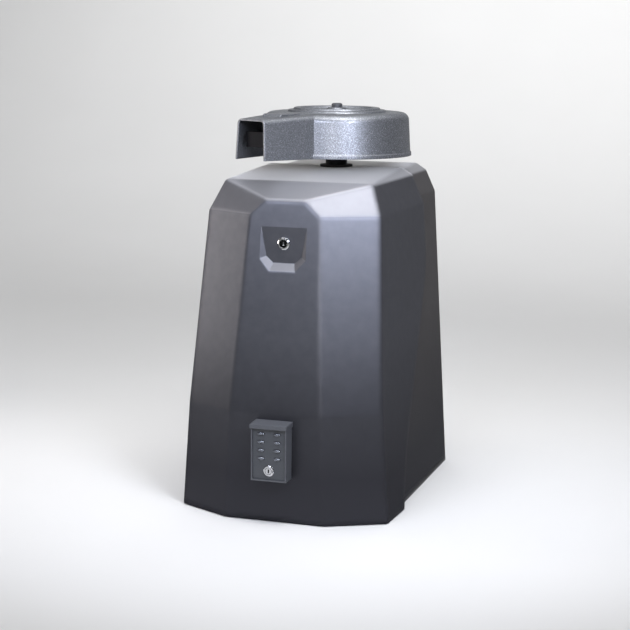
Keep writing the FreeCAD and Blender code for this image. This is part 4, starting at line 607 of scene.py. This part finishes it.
bend_start = SHEET_BACK - BEND_RADIUS
turns = [math.pi / 2 * step / BEND_STEPS for step in range(BEND_STEPS + 1)]
bend = [(bend_start + BEND_RADIUS * math.sin(turn), BEND_RADIUS * (1 - math.cos(turn)))
        for turn in turns]
profile = [(SHEET_FRONT, 0.0), *bend, (SHEET_BACK, SHEET_TOP)]
sheet_mesh = bpy.data.meshes.new("backdrop")
sheet_mesh.from_pydata([(side * SHEET_HALF, y, z) for y, z in profile for side in (-1, 1)], [],
                       [(2 * n, 2 * n + 1, 2 * n + 3, 2 * n + 2) for n in range(len(profile) - 1)])
sheet_mesh.shade_smooth()
sheet_mesh.materials.append(PAPER)
sheet = bpy.data.objects.new("backdrop", sheet_mesh)
bpy.context.scene.collection.objects.link(sheet)
print("backdrop faces", len(sheet_mesh.polygons))

# %% [markdown]
# A broad overhead light fills the studio. Each facet mirrors one direction of it,
# so the panels are placed by the reflections: a key high at the right front for
# the bright brow, a lower panel for the right cheek, one above the camera for the
# nose, a warm one at the left, a narrow strip for the glint on the arm cover and
# one on top for the forehead. Lamps could be set by their power, but then a larger
# one looks dimmer. Here every panel is given by its direction from the operator
# and by how brightly its face glows.

# %% A soft box
MIDDLE = Vector((0, -0.05, 0.5))
PANEL_DISTANCE = 1.5
WHITE, COOL, WARM = "ffffff", "e8eeff", "fff6ee"
PANEL_SPREAD, FULL_SPREAD = 90, 180
# With the full spread, an area light of one watt on one square metre shows a glow of a quarter.
ENERGY_OF_GLOW = 4
OVERHEAD_PLACE, OVERHEAD_AIM = Vector((0, 0.8, 4.5)), Vector((0, 0.8, 0))
OVERHEAD_SIDE, OVERHEAD_GLOW = 7, 0.8


def towards(azimuth, elevation):
    """A panel's place; azimuth counts from the front to the right, in degrees."""
    turn, lift = math.radians(azimuth), math.radians(elevation)
    way = Vector((math.sin(turn) * math.cos(lift), -math.cos(turn) * math.cos(lift), math.sin(lift)))
    return MIDDLE + way * PANEL_DISTANCE


def softbox(name, place, aim, width, height, glow, tint=WHITE, spread=PANEL_SPREAD):
    """A rectangular light that faces its aim."""
    data = bpy.data.lights.new(name, "AREA")
    data.shape = "RECTANGLE"
    data.size, data.size_y = width, height
    data.spread = math.radians(spread)
    data.energy = ENERGY_OF_GLOW * glow * width * height
    data.color = colour(tint)[:3]
    lamp = bpy.data.objects.new(name, data)
    lamp.location = place
    lamp.visible_camera = False
    lamp.rotation_euler = (place - aim).to_track_quat("Z", "Y").to_euler()
    bpy.context.scene.collection.objects.link(lamp)


softbox("overhead", OVERHEAD_PLACE, OVERHEAD_AIM, OVERHEAD_SIDE, OVERHEAD_SIDE, OVERHEAD_GLOW,
        spread=FULL_SPREAD)
print("overhead light", round(bpy.data.lights["overhead"].energy), "W")

# %% [markdown]
# The panels stand in a ring round the operator. Each row of the list gives one
# panel's direction in degrees, its width and height in metres, its glow, its tint
# and how far above the middle it aims. The last light washes the sheet behind, and
# a faint white world softens what is left in the dark.

# %% Panels, wash and world
WASH_PLACE, WASH_AIM = Vector((0, 0.5, 3.6)), Vector((0, 5, 1.5))
WASH_WIDTH, WASH_HEIGHT, WASH_GLOW = 5, 1, 2.6
WORLD_LEVEL = 0.16
PANELS = (
    ("key", 44, 56, 0.5, 0.5, 2.1, WHITE, 0),
    ("right panel", 38, 20, 0.5, 0.3, 6.2, COOL, 0),
    ("front panel", -8, 24, 0.8, 0.25, 3.5, COOL, 0),
    ("left panel", -78, 8, 0.4, 1.0, 1.25, WARM, 0),
    ("glint strip", 11, 6, 0.1, 0.4, 3.5, WHITE, 0.1),
    ("top panel", 15, 70, 1.0, 0.8, 0.85, WHITE, 0),
)
for name, azimuth, elevation, width, height, glow, tint, lift in PANELS:
    aim = MIDDLE + Vector((0, 0, lift))
    softbox(name, towards(azimuth, elevation), aim, width, height, glow, tint)
softbox("wash", WASH_PLACE, WASH_AIM, WASH_WIDTH, WASH_HEIGHT, WASH_GLOW)
world = bpy.data.worlds.new("studio")
bpy.context.scene.world = world
world.use_nodes = True
feed(world.node_tree.nodes["Background"], {"Color": colour(WHITE), "Strength": WORLD_LEVEL})
bpy.context.scene.view_settings.view_transform = "Standard"
print("lights", [light.name for light in bpy.data.lights])
